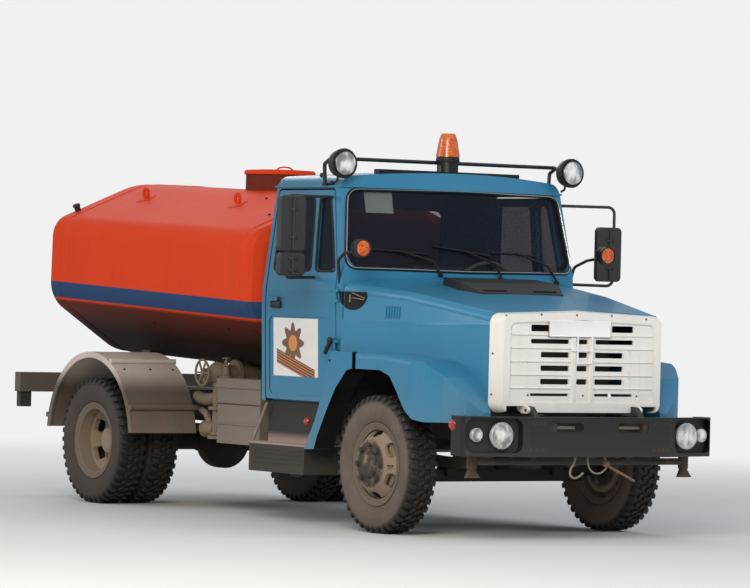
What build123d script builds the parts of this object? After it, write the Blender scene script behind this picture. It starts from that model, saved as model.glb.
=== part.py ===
from build123d import *
import math
import os

# Street washer truck: bonneted two axle chassis with a water tank.
# Millimetres, +X forward, +Y to the truck's left, +Z up, ground at z = 0.
# Everything is drawn with x measured from the front axle and moved by SHIFT when it is written.

# Main lengths
WHEELBASE = 3800.0
FRONT_OVERHANG = 1200.0
REAR_OVERHANG = 1500.0
SHIFT = (WHEELBASE + REAR_OVERHANG - FRONT_OVERHANG) / 2
REAR_AXLE = -WHEELBASE

# Wheels and tyres
TYRE_R = 482.0
TYRE_WIDTH = 236.0
RIM_R = 292.0
RIM_SEAT_R = 254.0
RIM_WIDTH = 190.0
RIM_WALL = 9.0
DISC_WALL = 12.0
DISC_OFFSET = 142.0
DISC_FLANGE_R = 176.0
HUB_R = 92.0
STUD_CIRCLE_R = 136.0
STUD_COUNT = 8
HAND_HOLES = 6
HUB_BORE_CLEARANCE = 0.5
DRUM_R = 206.0
DRUM_HALF = 72.0
REAR_DRUM_REACH = 212.0
SPINDLE_R = 32.0
REAR_SPINDLE_R = 46.0
RUNNING_FIT = 0.05
DRUM_CLEARANCE = 6.0
FRONT_TRACK = 1930.0
REAR_TRACK = 1860.0

# Frame
RAIL_HALF = 432.0
RAIL_TOP = 872.0
RAIL_HEIGHT = 220.0
RAIL_FLANGE = 70.0
RAIL_WALL = 9.0
RAIL_FRONT = 1020.0
CROSS_LIFT = 74.0
REAR_BEAM_DEPTH = 90.0
REAR_BEAM_HALF = 1047.0
REAR_BEAM_LOW = 810.0
REAR_BEAM_TOP = 965.0
SPRING_Y = 455.0
SPRING_WIDTH = 76.0
SPRING_LEAF = 11.0
SPRING_EYE_R = 20.0
FRONT_SPRING_HALF = 700.0
REAR_SPRING_HALF = 780.0
AXLE_HEIGHT = TYRE_R

# Steering
KINGPIN_Y = 826.0
KINGPIN_R = 22.0
STEER_ARM = 190.0
STEER_LOCK = 34.0
EAR_GAP = 2.0
EAR_WALL = 38.0
EAR_R = 38.0
EYE_R = 34.0
PLATE_WALL = 21.0
ARM_WALL = 30.0
TIE_PIN_R = 11.0
BEAM_DROP_Z = 402.0
BEAM_DEPTH = 84.0
BEAM_WIDTH = 62.0
FRONT_LEAVES = 7
REAR_LEAVES = 6
AXLE_TUBE_R = 70.0
BANJO_R = 215.0

# Engine and driveline
ENGINE_FRONT = 560.0
ENGINE_REAR = -360.0
ENGINE_HALF = 270.0
GEARBOX_REAR = -1060.0
SHAFT_Z = 684.0
YOKE = 70.0
RADIATOR_X = 760.0

# Cab
CAB_BOTTOM = RAIL_TOP
CAB_REAR = -1645.0
CAB_REAR_TOP = -1545.0
REAR_LEAN_Z = 1560.0
CAB_WALL = 48.0
CAB_HALF_LOW = 985.0
CAB_HALF_BELT = 1012.0
CAB_HALF_TOP = 960.0
CAB_HALF_ROOF = 880.0
BELT_Z = 1690.0
EAVES_Z = 2425.0
ROOF_EDGE_Z = 2508.0
ROOF_TOP = 2550.0
COWL_X = -434.0
SCREEN_X = -440.0
SCREEN_Z = 1863.0
SCREEN_BOW = 130.0
SCREEN_RAKE = 0.234
DRIP_DEPTH = 14.0
DRIP_HEIGHT = 12.0
DOOR_GAP = 12.0
DOOR_FRONT = -652.0
DOOR_KNEE_Z = 1190.0
DOOR_FOOT = -790.0
DOOR_FRONT_TOP = -768.0
DOOR_BOTTOM = 888.0
DOOR_REAR = -1588.0
DOOR_REAR_TOP = -1500.0
DOOR_TOP = 2404.0
HINGE_X = -640.0
HINGE_Y = 1018.0
HINGE_R = 13.0
HINGE_PIN_R = 6.0
HINGE_LENGTH = 96.0
PRESS_DEPTH = 6.0
PRESS_TOP = 1490.0
SILL_Z = 1828.0
WINDOW_TOP = 2345.0
WINDOW_BEND = 40.0
GLASS_WALL = 5.0
GLASS_INSET = 18.0
LAMP_FIT = 0.3

# Hood and front fenders
HOOD_WALL = 24.0
HOOD_GAP = 12.0
HOOD_LOW = 900.0
HOOD_CREASE_Z = 1469.0
HOOD_HINGE_X = 990.0
HOOD_HINGE_Z = 900.0
HOOD_EYE_R = 24.0
HOOD_PIN_R = 10.0
HINGE_ARM_Y = 470.0
HINGE_ARM_WALL = 20.0
GRILLE_X = 968.0
GRILLE_DEPTH = 100.0
GRILLE_HALF = 672.0
GRILLE_BASE_HALF = 724.0
GRILLE_LOW = RAIL_TOP + 12.0
GRILLE_CORNER_Z = 1553.0
GRILLE_TOP = 1579.0
GRILLE_FACE = 26.0
GRILLE_RIM = 55.0
FIELD_DEPTH = 12.0
FENDER_OUT = 1108.0
FENDER_IN = GRILLE_BASE_HALF + 0.3
FENDER_WALL = 18.0
FENDER_TOP = 1258.0
FENDER_ROUND = 46.0
ARCH_TOP = 1142.0

# Bumper
BUMPER_LOW = 587.0
BUMPER_TOP = 860.0
BUMPER_SHEET = 8.0
BUMPER_FLANGE = 62.0
BUMPER_HALF = 1064.0
BUMPER_SWEEP_Y = 590.0
BUMPER_CORNER_X = 1078.0
BUMPER_END_X = 925.0
LAMP_PLATE_BACK = 62.0

# Tank
TANK_FRONT = -1777.0
TANK_REAR = -4719.0
TANK_HEAD = 112.0
TANK_HALF = 1050.0
TANK_TOP = 2436.0
TANK_MID = 1740.0
TANK_LOW = 1098.0
# Tilt of the tank, front end down.
TANK_TILT = 1.9
NECK_X = -3050.0
NECK_R = 262.0
NECK_TOP = 2560.0
WELL_R = 225.0
WELL_DEPTH = 260.0
LID_R = 275.0
LID_WALL = 34.0
LID_LIFT = 0.4
LID_HINGE_R = 14.0
LID_HINGE_BACK = 40.0
LID_PIN_R = 7.0
SADDLE_HALF = 484.0

# Rear mudguards
ARCH_R = 660.0
ARCH_Z = 505.0
REAR_FENDER_OUT = 1212.0
REAR_FENDER_IN = 640.0
REAR_FENDER_WALL = 12.0
REAR_FENDER_LIP = 46.0
REAR_FENDER_FOOT = 565.0
# Angle of the rear stay of a rear mudguard, round the wheel from the front.
STAY_ANGLE = 167.0
STAY_R = 20.0

# Side boxes and steps
BOX_FRONT = -1808.0
BOX_REAR = -2411.0
BOX_OUT = 900.0
BOX_IN = RAIL_HALF + 60.0
BOX_LOW = 526.0
BOX_TOP = 1010.0
STEP_OUT = 1100.0
STEP_LOW = 362.0
STEP_TOP = 575.0
STEP_REAR = -1620.0
STEP_FRONT = -872.0
STEP_WALL = 12.0

# Spray pipe under the bumper
SPRAY_X = 950.0
SPRAY_HALF = 905.0
SPRAY_Z = 545.0
SPRAY_R = 24.0

# Mirrors, roof rack and lamps
MIRROR_X = -650.0
MIRROR_OUT = 1500.0
MIRROR_WIDE = 222.0
MIRROR_TUBE_R = 11.0
RACK_X = -785.0
RACK_HALF = 990.0
RACK_Z = 2630.0
RACK_R = 14.0
ROOF_LAMP_R = 88.0
ROOF_LAMP_Y = 996.0
ROOF_LAMP_Z = 2592.0
BEACON_X = -760.0
BEACON_TOP = 2844.0

# Rear hitch and front tow bores
HITCH_R = 20.0
HITCH_Z = 750.0
TOW_BORE_R = 18.0
TOW_BORE_X = 1085.0
TOW_BLOCK = 64.0

def shape(points, along, depth):
    """Flat outline of 3-D points pushed along a direction."""
    return extrude(make_face(Polyline(*points, close=True)), amount=depth, dir=along)


def side_prism(outline, y_low, y_high):
    """Outline of (x, z) points, extruded across the truck."""
    return shape([(x, y_low, z) for x, z in outline], (0, 1, 0), y_high - y_low)


def plan_prism(outline, z_low, z_high):
    """Outline of (x, y) points, extruded upwards."""
    return shape([(x, y, z_low) for x, y in outline], (0, 0, 1), z_high - z_low)


def block(x_low, x_high, y_low, y_high, z_low, z_high):
    size = (x_high - x_low, y_high - y_low, z_high - z_low)
    centre = ((x_low + x_high) / 2, (y_low + y_high) / 2, (z_low + z_high) / 2)
    return Pos(*centre) * Box(*size)


def rod(start, end, radius):
    """Round bar from one point to the other."""
    line = Line(start, end)
    return extrude(Plane(origin=start, z_dir=line % 0) * Circle(radius), amount=line.length)


def disc_y(x, z, radius, y_low, y_high):
    """Round bar across the truck."""
    return rod((x, y_low, z), (x, y_high, z), radius)


def bent_tube(points, bend, radius):
    """Tube with one bend radius at its corners."""
    path = FilletPolyline(*points, radius=bend)
    return sweep(Plane(origin=path @ 0, z_dir=path % 0) * Circle(radius), path=path)


def mirrored(solid):
    return mirror(solid, about=Plane.XZ)


def pair(solid):
    return [solid, mirrored(solid)]


def solids_of(items):
    found = []
    for item in items:
        found += list(item.solids())
    return found


def save(name, *items):
    solids = [Pos(SHIFT, 0, 0) * solid for solid in solids_of(items)]
    body = solids[0] if len(solids) == 1 else Compound(children=solids)
    body.label = name
    export_step(body, os.path.join("parts", name + ".step"))


os.makedirs("parts", exist_ok=True)

# Frame rails: channels open to the inside, with the bores for the tow eyes at the front.
rail_rear = REAR_AXLE - REAR_OVERHANG + REAR_BEAM_DEPTH
rail_low = RAIL_TOP - RAIL_HEIGHT


def frame_rail():
    web = block(rail_rear, RAIL_FRONT, RAIL_HALF - RAIL_WALL, RAIL_HALF, rail_low, RAIL_TOP)
    low = block(rail_rear, RAIL_FRONT, RAIL_HALF - RAIL_FLANGE, RAIL_HALF, rail_low, rail_low + RAIL_WALL)
    top = block(rail_rear, RAIL_FRONT, RAIL_HALF - RAIL_FLANGE, RAIL_HALF, RAIL_TOP - RAIL_WALL, RAIL_TOP)
    return web + low + top


save("frame_rail_left", frame_rail())
save("frame_rail_right", mirrored(frame_rail()))

# Crossmembers between the rails: place and width of each along the truck.
CROSSMEMBERS = [(RADIATOR_X, 110.0), (-1260.0, 110.0), (-2050.0, 110.0), (-3160.0, 110.0), (-4500.0, 110.0)]
cross_half = RAIL_HALF - RAIL_WALL
cross_bars = []
for place, width in CROSSMEMBERS:
    bar = block(place - width / 2, place + width / 2, -cross_half, cross_half, rail_low + CROSS_LIFT,
        RAIL_TOP - RAIL_WALL)
    trough = block(place - width / 2 + 8, place + width / 2 - 8, -cross_half, cross_half,
        rail_low + CROSS_LIFT - 10, RAIL_TOP - 20)
    cross_bars.append(bar - trough)
save("frame_crossmembers", *cross_bars)

# Rear beam: a box beam across the frame's end with a tow hitch socket and a leg at each end.
beam_rear = REAR_AXLE - REAR_OVERHANG
beam = block(beam_rear, rail_rear, -REAR_BEAM_HALF, REAR_BEAM_HALF, REAR_BEAM_LOW, REAR_BEAM_TOP)
hitch_block = block(beam_rear, rail_rear, -120, 120, HITCH_Z - 60, REAR_BEAM_LOW)
hitch_bore = rod((beam_rear - 10, 0, HITCH_Z), (rail_rear + 10, 0, HITCH_Z), HITCH_R)
rear_beam = beam + (hitch_block - hitch_bore)
save("rear_beam", rear_beam)

# Tail lamps under the ends of the beam.
tail_lamp = block(beam_rear + 5, beam_rear + 65, 930, 1030, 690, REAR_BEAM_LOW)

# Front bumper: a pressed channel swept back at its ends, open to the rear, with a lamp recess at each end.
HEADLAMP = (787.0, 730.0, 92.0)
SMALL_LAMP = (958.0, 733.0, 48.0)
BUMPER_SLOTS = [(-287.0, 273.0), (276.0, 258.0)]
SLOT_Z = 789.0
SLOT_HEIGHT = 62.0
RECESS = (648.0, 1046.0, 612.0, 850.0)
behind = BUMPER_END_X - 300


def bumper_plan(inset, low, top):
    """Plan outline of the bumper set in by the sheet, pushed up from low to top."""
    half = [(behind, BUMPER_HALF), (BUMPER_CORNER_X, BUMPER_HALF), (FRONT_OVERHANG, BUMPER_SWEEP_Y)]
    outline = [(x, -y) for x, y in half] + [(x, y) for x, y in reversed(half)]
    plan = make_face(FilletPolyline(*outline, radius=70, close=True))
    if inset:
        plan = offset(plan, amount=-inset)
    return extrude(Pos(0, 0, low) * plan, amount=top - low)


bumper = bumper_plan(0, BUMPER_LOW, BUMPER_TOP)
bumper -= bumper_plan(BUMPER_SHEET, BUMPER_LOW + BUMPER_SHEET, BUMPER_TOP - BUMPER_SHEET)
bumper -= bumper_plan(BUMPER_FLANGE, BUMPER_LOW - 10, BUMPER_TOP + 10)
y_low, y_top, z_low, z_top = RECESS
recess_centre = ((y_low + y_top) / 2, (z_low + z_top) / 2)
recess_shape = Plane.YZ * (Pos(*recess_centre) * RectangleRounded(y_top - y_low, z_top - z_low, 60))
recess = extrude(Pos(behind, 0, 0) * recess_shape, amount=900)
set_back = Pos(-LAMP_PLATE_BACK, 0, 0)
plate_zone = Pos(BUMPER_SHEET, 0, 0) * set_back * bumper_plan(0, BUMPER_LOW + 1, BUMPER_TOP - 1)
plate_zone -= set_back * bumper_plan(0, BUMPER_LOW - 10, BUMPER_TOP + 10)
lamp_plate = plate_zone & block(behind, 2000, y_low - 20, BUMPER_HALF - 4, BUMPER_LOW, BUMPER_TOP)
collar_shape = Plane.YZ * (Pos(*recess_centre) * RectangleRounded(y_top - y_low + 12, z_top - z_low + 12, 66))
collar = extrude(Pos(behind, 0, 0) * collar_shape, amount=900) - recess
collar &= bumper_plan(1, BUMPER_LOW, BUMPER_TOP) - set_back * bumper_plan(0, BUMPER_LOW - 10, BUMPER_TOP + 10)
bumper -= recess
bumper -= mirrored(recess)
for part in (lamp_plate, collar):
    bumper += part
    bumper += mirrored(part)
for y, z, radius in (HEADLAMP, SMALL_LAMP):
    for side in (-1, 1):
        bumper -= rod((behind, side * y, z), (1400, side * y, z), radius - 14 + LAMP_FIT)
for y, width in BUMPER_SLOTS:
    slot = Plane.YZ * (Pos(y, SLOT_Z) * RectangleRounded(width, SLOT_HEIGHT, 24))
    bumper -= extrude(Pos(behind, 0, 0) * slot, amount=900)
bumper -= block(behind - 100, BUMPER_END_X, -2 * BUMPER_HALF, 2 * BUMPER_HALF, 0, 2 * BUMPER_TOP)
save("front_bumper", bumper)

# Bumper brackets run on from the rails, carry the hood's hinge eyes and hold the tow pins.
bracket_back = FRONT_OVERHANG - BUMPER_SHEET
bracket = block(RAIL_FRONT, bracket_back, RAIL_HALF - TOW_BLOCK, RAIL_HALF, rail_low + 20, BUMPER_TOP - 20)
bracket -= rod((TOW_BORE_X, RAIL_HALF - TOW_BLOCK / 2, 0), (TOW_BORE_X, RAIL_HALF - TOW_BLOCK / 2, 2000),
    TOW_BORE_R)
eye_y = HINGE_ARM_Y - 2
foot = [(RAIL_FRONT + 2, BUMPER_TOP - 120), (RAIL_FRONT + 120, BUMPER_TOP - 120),
    (RAIL_FRONT + 40, BUMPER_TOP),
        (HOOD_HINGE_X + 14, HOOD_HINGE_Z + 20), (HOOD_HINGE_X - 20, HOOD_HINGE_Z + 10),
            (HOOD_HINGE_X - 10, RAIL_TOP + 6),
        (RAIL_FRONT + 2, RAIL_TOP + 6)]
bracket += side_prism(foot, RAIL_HALF - 6, eye_y)
bracket += disc_y(HOOD_HINGE_X, HOOD_HINGE_Z, HOOD_EYE_R, RAIL_HALF - 6, eye_y)
bracket += disc_y(HOOD_HINGE_X, HOOD_HINGE_Z, HOOD_PIN_R, RAIL_HALF - 6, HINGE_ARM_Y + HINGE_ARM_WALL + 8)
save("bumper_brackets", *pair(bracket))


def turned_x(points, x, y, z):
    """Revolve (depth, radius) points about an axis along X; depth is measured forwards from x."""
    face = make_face(Polyline(*[(depth, radius, 0) for depth, radius in points], close=True))
    return Pos(x, y, z) * revolve(face, axis=Axis.X)


def lamp_body(radius, back):
    """Round lamp: bucket, bezel and a domed glass, sitting on its plate at depth 0."""
    dome = radius * 0.16
    return [(-back, 0), (-back, radius * 0.5), (-back * 0.4, radius - 14), (0, radius - 14), (0, radius),
        (20, radius),
            (26, radius - 8), (22, radius - 10), (22 + dome * 0.6, radius * 0.6),
                (22 + dome, radius * 0.2), (22 + dome, 0)]


# Front lamps: headlamp and small lamp stand on the plate in each recess, their buckets through its holes.
front_lamps = []
for y, z, radius in (HEADLAMP, SMALL_LAMP):
    fall = (FRONT_OVERHANG - BUMPER_CORNER_X) / (BUMPER_HALF - BUMPER_SWEEP_Y)
    plate_x = FRONT_OVERHANG - fall * (y - radius - BUMPER_SWEEP_Y) - LAMP_PLATE_BACK + BUMPER_SHEET + LAMP_FIT
    front_lamps += pair(turned_x(lamp_body(radius, 56), plate_x, y, z))
save("front_lamps", *front_lamps)


# Wheels. Each is revolved about an axis along Y with its disc's outer face towards +Y.
def ring_section(points):
    return make_face(Polyline(*[(0, y, r) for y, r in points], close=True))


def turned(points):
    """Revolve (y, radius) points about the Y axis."""
    return revolve(ring_section(points), axis=Axis.Y)


half_rim = RIM_WIDTH / 2
RIM_SECTION = [
    (-half_rim, RIM_R),
    (-half_rim, RIM_R - RIM_WALL),
    (-half_rim + 14, RIM_SEAT_R - RIM_WALL),
    (half_rim - 14, RIM_SEAT_R - RIM_WALL),
    (half_rim, RIM_R - RIM_WALL),
    (half_rim, RIM_R),
    (half_rim - 12, RIM_R),
    (half_rim - 22, RIM_SEAT_R),
    (-half_rim + 22, RIM_SEAT_R),
    (-half_rim + 12, RIM_R),
]
face = DISC_OFFSET
DISC_SECTION = [
    (face - DISC_WALL, HUB_R + HUB_BORE_CLEARANCE),
    (face, HUB_R + HUB_BORE_CLEARANCE),
    (face, DISC_FLANGE_R),
    (face - 66, RIM_SEAT_R - 22),
    (face - 92, RIM_SEAT_R - RIM_WALL),
    (face - 122, RIM_SEAT_R - RIM_WALL),
    (face - 78, RIM_SEAT_R - 36),
    (face - DISC_WALL, DISC_FLANGE_R - 6),
]


def wheel_disc():
    disc = turned(RIM_SECTION) + turned(DISC_SECTION)
    for index in range(HAND_HOLES):
        turn = Rot(0, 360 * index / HAND_HOLES, 0)
        hole = Rot(-90, 0, 0) * SlotCenterToCenter(70, 44)
        disc -= turn * (Pos(0, 0, 212) * extrude(hole, amount=200))
    return disc


def nut_ring(seat):
    """Wheel nuts standing on a flange at y = seat."""
    nuts = []
    for index in range(STUD_COUNT):
        turn = Rot(0, 360 * index / STUD_COUNT, 0)
        nuts.append(turn * Pos(0, seat, STUD_CIRCLE_R) * (Rot(-90, 0, 0) * extrude(RegularPolygon(19, 6),
            amount=28)))
    return nuts


# Front hub with its brake drum: y from the wheel's middle and radius of each corner.
FRONT_HUB = [
    (-DRUM_HALF, SPINDLE_R + RUNNING_FIT),
    (-DRUM_HALF, DRUM_R),
    (DRUM_HALF - 14, DRUM_R),
    (DRUM_HALF, DRUM_R - 40),
    (face - DISC_WALL, DISC_FLANGE_R - 20),
    (face - 1, DISC_FLANGE_R - 20),
    (face - 1, HUB_R),
    (face + 16, HUB_R),
    (face + 32, HUB_R - 20),
    (face + 32, 0),
    (face + 12, 0),
    (face + 12, SPINDLE_R + RUNNING_FIT),
]
# Rear hub on the twin wheels' common flange plane.
REAR_HUB = [
    (-REAR_DRUM_REACH, REAR_SPINDLE_R + RUNNING_FIT),
    (-REAR_DRUM_REACH, DRUM_R),
    (-58, DRUM_R),
    (-40, DISC_FLANGE_R - 20),
    (DISC_WALL - 1, DISC_FLANGE_R - 20),
    (DISC_WALL - 1, HUB_R + 16),
    (96, HUB_R),
    (112, HUB_R),
    (120, HUB_R - 26),
    (120, 0),
    (92, 0),
    (92, REAR_SPINDLE_R + RUNNING_FIT),
]

half_tyre = TYRE_WIDTH / 2
TYRE_SECTION = [
    (half_rim - 22, RIM_SEAT_R + 0.3),
    (half_rim - 12.3, RIM_R),
    (half_rim - 4, RIM_R + 8),
    (half_tyre - 10, RIM_R + 46),
    (half_tyre, RIM_R + 100),
    (half_tyre - 6, TYRE_R - 48),
    (half_tyre - 22, TYRE_R - 12),
    (half_tyre - 44, TYRE_R),
]


def tyre():
    half = TYRE_SECTION
    whole = half + [(-y, r) for y, r in reversed(half)]
    return turned(whole)


def place_wheel(solid, x, y):
    return Pos(x, y, AXLE_HEIGHT) * solid


front_y = FRONT_TRACK / 2
single_wheel = wheel_disc()
front_wheel = single_wheel + turned(FRONT_HUB) + nut_ring(face)
outer_y = REAR_TRACK / 2 + DISC_OFFSET
inner_y = REAR_TRACK / 2 - DISC_OFFSET
rear_wheels = place_wheel(mirrored(single_wheel), REAR_AXLE, outer_y)
rear_wheels += place_wheel(single_wheel, REAR_AXLE, inner_y)
rear_wheels += place_wheel(turned(REAR_HUB), REAR_AXLE, REAR_TRACK / 2)
rear_wheels += [place_wheel(nut, REAR_AXLE, REAR_TRACK / 2) for nut in nut_ring(DISC_WALL)]
for side, name in ((1, "left"), (-1, "right")):
    turn = (lambda solid: solid) if side > 0 else mirrored
    save("front_wheel_" + name, turn(place_wheel(front_wheel, 0, front_y)))
    save("front_tyre_" + name, turn(place_wheel(tyre(), 0, front_y)))
    save("rear_wheels_" + name, turn(rear_wheels))
    rear_tyres = [place_wheel(tyre(), REAR_AXLE, outer_y), place_wheel(tyre(), REAR_AXLE, inner_y)]
    save("rear_tyres_" + name, *[turn(solid) for solid in rear_tyres])

# Front axle beam: dropped between the springs, with an eye and a kingpin at each end.
eye_half = 50.0
BEAM_LINE = [(KINGPIN_Y, AXLE_HEIGHT), (640.0, AXLE_HEIGHT - 30), (560.0, BEAM_DROP_Z), (0.0, BEAM_DROP_Z)]
upper = [(y, z + BEAM_DEPTH / 2) for y, z in BEAM_LINE]
lower = [(y, z - BEAM_DEPTH / 2) for y, z in BEAM_LINE]
half_beam = shape([(-BEAM_WIDTH / 2, y, z) for y, z in upper + lower[::-1]], (1, 0, 0), BEAM_WIDTH)
eye = rod((0, KINGPIN_Y, AXLE_HEIGHT - eye_half), (0, KINGPIN_Y, AXLE_HEIGHT + eye_half), EYE_R)
pin_reach = eye_half + EAR_GAP + EAR_WALL
kingpin = rod((0, KINGPIN_Y, AXLE_HEIGHT - pin_reach), (0, KINGPIN_Y, AXLE_HEIGHT + pin_reach), KINGPIN_R)
half_axle = half_beam + eye + kingpin
spring_pad_top = BEAM_DROP_Z + BEAM_DEPTH / 2 + 14
half_axle += block(-70, 70, SPRING_Y - 44, SPRING_Y + 44, BEAM_DROP_Z, spring_pad_top)
save("front_axle_beam", half_axle + mirrored(half_axle))

# Knuckles: a fork round the axle's eye, the wheel spindle and the steering arm.
plate_out = front_y - DRUM_HALF - DRUM_CLEARANCE
knuckle = block(-54, 54, plate_out - PLATE_WALL, plate_out, AXLE_HEIGHT - pin_reach, AXLE_HEIGHT + pin_reach)
for level in (-1, 1):
    near = AXLE_HEIGHT + level * (eye_half + EAR_GAP)
    far = near + level * EAR_WALL
    knuckle += rod((0, KINGPIN_Y, min(near, far)), (0, KINGPIN_Y, max(near, far)), EAR_R)
    knuckle += block(-EAR_R, EAR_R, KINGPIN_Y, plate_out, min(near, far), max(near, far))
knuckle += rod((0, plate_out - 8, AXLE_HEIGHT), (0, front_y + face, AXLE_HEIGHT), SPINDLE_R)
arm_low = AXLE_HEIGHT - pin_reach
knuckle += shape(
    [(0, KINGPIN_Y - 20, arm_low), (0, plate_out, arm_low), (-STEER_ARM, KINGPIN_Y + 18, arm_low),
     (-STEER_ARM, KINGPIN_Y - 18, arm_low)],
    (0, 0, 1), ARM_WALL)
knuckle += rod((-STEER_ARM, KINGPIN_Y, arm_low), (-STEER_ARM, KINGPIN_Y, arm_low + ARM_WALL), 26)
knuckle -= rod((0, KINGPIN_Y, 0), (0, KINGPIN_Y, 1000), KINGPIN_R + RUNNING_FIT)
knuckle -= rod((-STEER_ARM, KINGPIN_Y, 0), (-STEER_ARM, KINGPIN_Y, 1000), TIE_PIN_R + RUNNING_FIT)
save("knuckle_left", knuckle)
save("knuckle_right", mirrored(knuckle))

# Tie rod hangs below the two arms by its pins.
tie_top = arm_low - 3
tie_rod = rod((-STEER_ARM, -KINGPIN_Y, tie_top - 20), (-STEER_ARM, KINGPIN_Y, tie_top - 20), 17)
for side in (-1, 1):
    tie_rod += rod((-STEER_ARM, side * KINGPIN_Y, tie_top - 40), (-STEER_ARM, side * KINGPIN_Y, tie_top), 27)
    tie_rod += rod((-STEER_ARM, side * KINGPIN_Y, tie_top - 10),
        (-STEER_ARM, side * KINGPIN_Y, arm_low + ARM_WALL), TIE_PIN_R)
save("tie_rod", tie_rod)


# Leaf springs: leaves follow one arc, each shorter than the one above it.
def leaf_pack(x, base, rise, half, leaves):
    """Spring whose lowest leaf rests at z = base; the main leaf's ends rise by the given height."""
    main = base + SPRING_LEAF * (leaves - 1)
    radius = (half ** 2 + rise ** 2) / (2 * rise)
    pack = None
    for index in range(leaves):
        reach = half * (1 - 0.11 * index)
        low = main - SPRING_LEAF * index
        lift = radius - math.sqrt(radius ** 2 - reach ** 2)
        bottom = ThreePointArc((x - reach, low + lift), (x, low), (x + reach, low + lift))
        top = ThreePointArc((x + reach, low + lift + SPRING_LEAF), (x, low + SPRING_LEAF),
            (x - reach, low + lift + SPRING_LEAF))
        outline = make_face(bottom + Line(bottom @ 1, top @ 0) + top + Line(top @ 1, bottom @ 0))
        leaf = Rot(90, 0, 0) * extrude(outline, amount=SPRING_WIDTH / 2, both=True)
        leaf = Pos(0, SPRING_Y, 0) * leaf
        pack = leaf if pack is None else pack + leaf
    end_z = main + rise + SPRING_LEAF / 2
    for end in (-1, 1):
        eye_x = x + end * half
        pack += disc_y(eye_x, end_z, SPRING_EYE_R, SPRING_Y - SPRING_WIDTH / 2, SPRING_Y + SPRING_WIDTH / 2)
        pack += block(eye_x - 34, eye_x + 34, RAIL_HALF - 60, SPRING_Y + SPRING_WIDTH / 2, end_z, rail_low)
    return pack


front_spring = leaf_pack(0, spring_pad_top, 102, FRONT_SPRING_HALF, FRONT_LEAVES)

# Rear axle: banjo casing with a domed cover, tapered arms and spindles.
arm_end = REAR_TRACK / 2 - REAR_DRUM_REACH - DRUM_CLEARANCE
spindle_end = REAR_TRACK / 2 + 88
half_arm = [(spindle_end, REAR_SPINDLE_R), (arm_end, REAR_SPINDLE_R), (arm_end, AXLE_TUBE_R),
    (260, AXLE_TUBE_R), (150, 110), (60, 150)]
whole_arm = [(spindle_end, 0)] + half_arm + [(-y, r) for y, r in reversed(half_arm)] + [(-spindle_end, 0)]
BANJO_SECTION = [(-150, 0), (-128, 120), (-70, 190), (-50, BANJO_R), (50, BANJO_R), (70, 190),
    (190, 110), (260, 60), (260, 0)]
banjo = revolve(make_face(Polyline(*[(x, 0, r) for x, r in BANJO_SECTION], close=True)), axis=Axis.X)
rear_axle = Rot(0, 35, 0) * turned(whole_arm) + Rot(25, 0, 0) * banjo
rear_axle = Pos(REAR_AXLE, 0, AXLE_HEIGHT) * rear_axle
rear_pad_top = AXLE_HEIGHT + AXLE_TUBE_R + 12
pad = block(REAR_AXLE - 80, REAR_AXLE + 80, SPRING_Y - 44, SPRING_Y + 44, AXLE_HEIGHT, rear_pad_top)
rear_axle += pad + mirrored(pad)
save("rear_axle", rear_axle)
rear_spring = leaf_pack(REAR_AXLE, rear_pad_top, 7, REAR_SPRING_HALF, REAR_LEAVES)
save("leaf_springs", *pair(front_spring), *pair(rear_spring))

# Engine and gearbox as one plain block each, on mounts from the rails.
engine = block(ENGINE_REAR, ENGINE_FRONT, -ENGINE_HALF, ENGINE_HALF, 600, 1290)
gearbox = block(GEARBOX_REAR, ENGINE_REAR, -170, 170, 600, 850)
engine += gearbox
mount_low = rail_low + RAIL_WALL
for side in (-1, 1):
    near, far = sorted((side * ENGINE_HALF, side * (RAIL_HALF - RAIL_WALL)))
    engine += block(60, 190, near, far, mount_low, mount_low + 120)
save("engine", engine)
shaft_end = REAR_AXLE + 260
shaft = rod((GEARBOX_REAR, 0, SHAFT_Z), (GEARBOX_REAR - YOKE, 0, SHAFT_Z), 52)
shaft += rod((shaft_end, 0, AXLE_HEIGHT), (shaft_end + YOKE, 0, AXLE_HEIGHT), 52)
shaft += rod((GEARBOX_REAR - YOKE / 2, 0, SHAFT_Z), (shaft_end + YOKE / 2, 0, AXLE_HEIGHT), 40)
save("propeller_shaft", shaft)
radiator_low = RAIL_TOP - RAIL_WALL
save("radiator", block(RADIATOR_X - 45, RADIATOR_X + 45, -340, 340, radiator_low, 1490))


# Cab: one outer form and the same form set in by the wall give the shell, which is split into panels.
REACH = 1150.0


def bowed_block(middle, low, direction, length):
    """Everything behind a bowed front; middle is its x on the centre line at z = low."""
    edge = middle - SCREEN_BOW * (REACH / CAB_HALF_BELT) ** 2
    front = ThreePointArc((edge, -REACH, low), (middle, 0, low), (edge, REACH, low))
    back = Polyline((edge, REACH, low), (2 * CAB_REAR, REACH, low), (2 * CAB_REAR, -REACH, low),
        (edge, -REACH, low))
    return extrude(make_face(front + back), amount=length, dir=direction)


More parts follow.
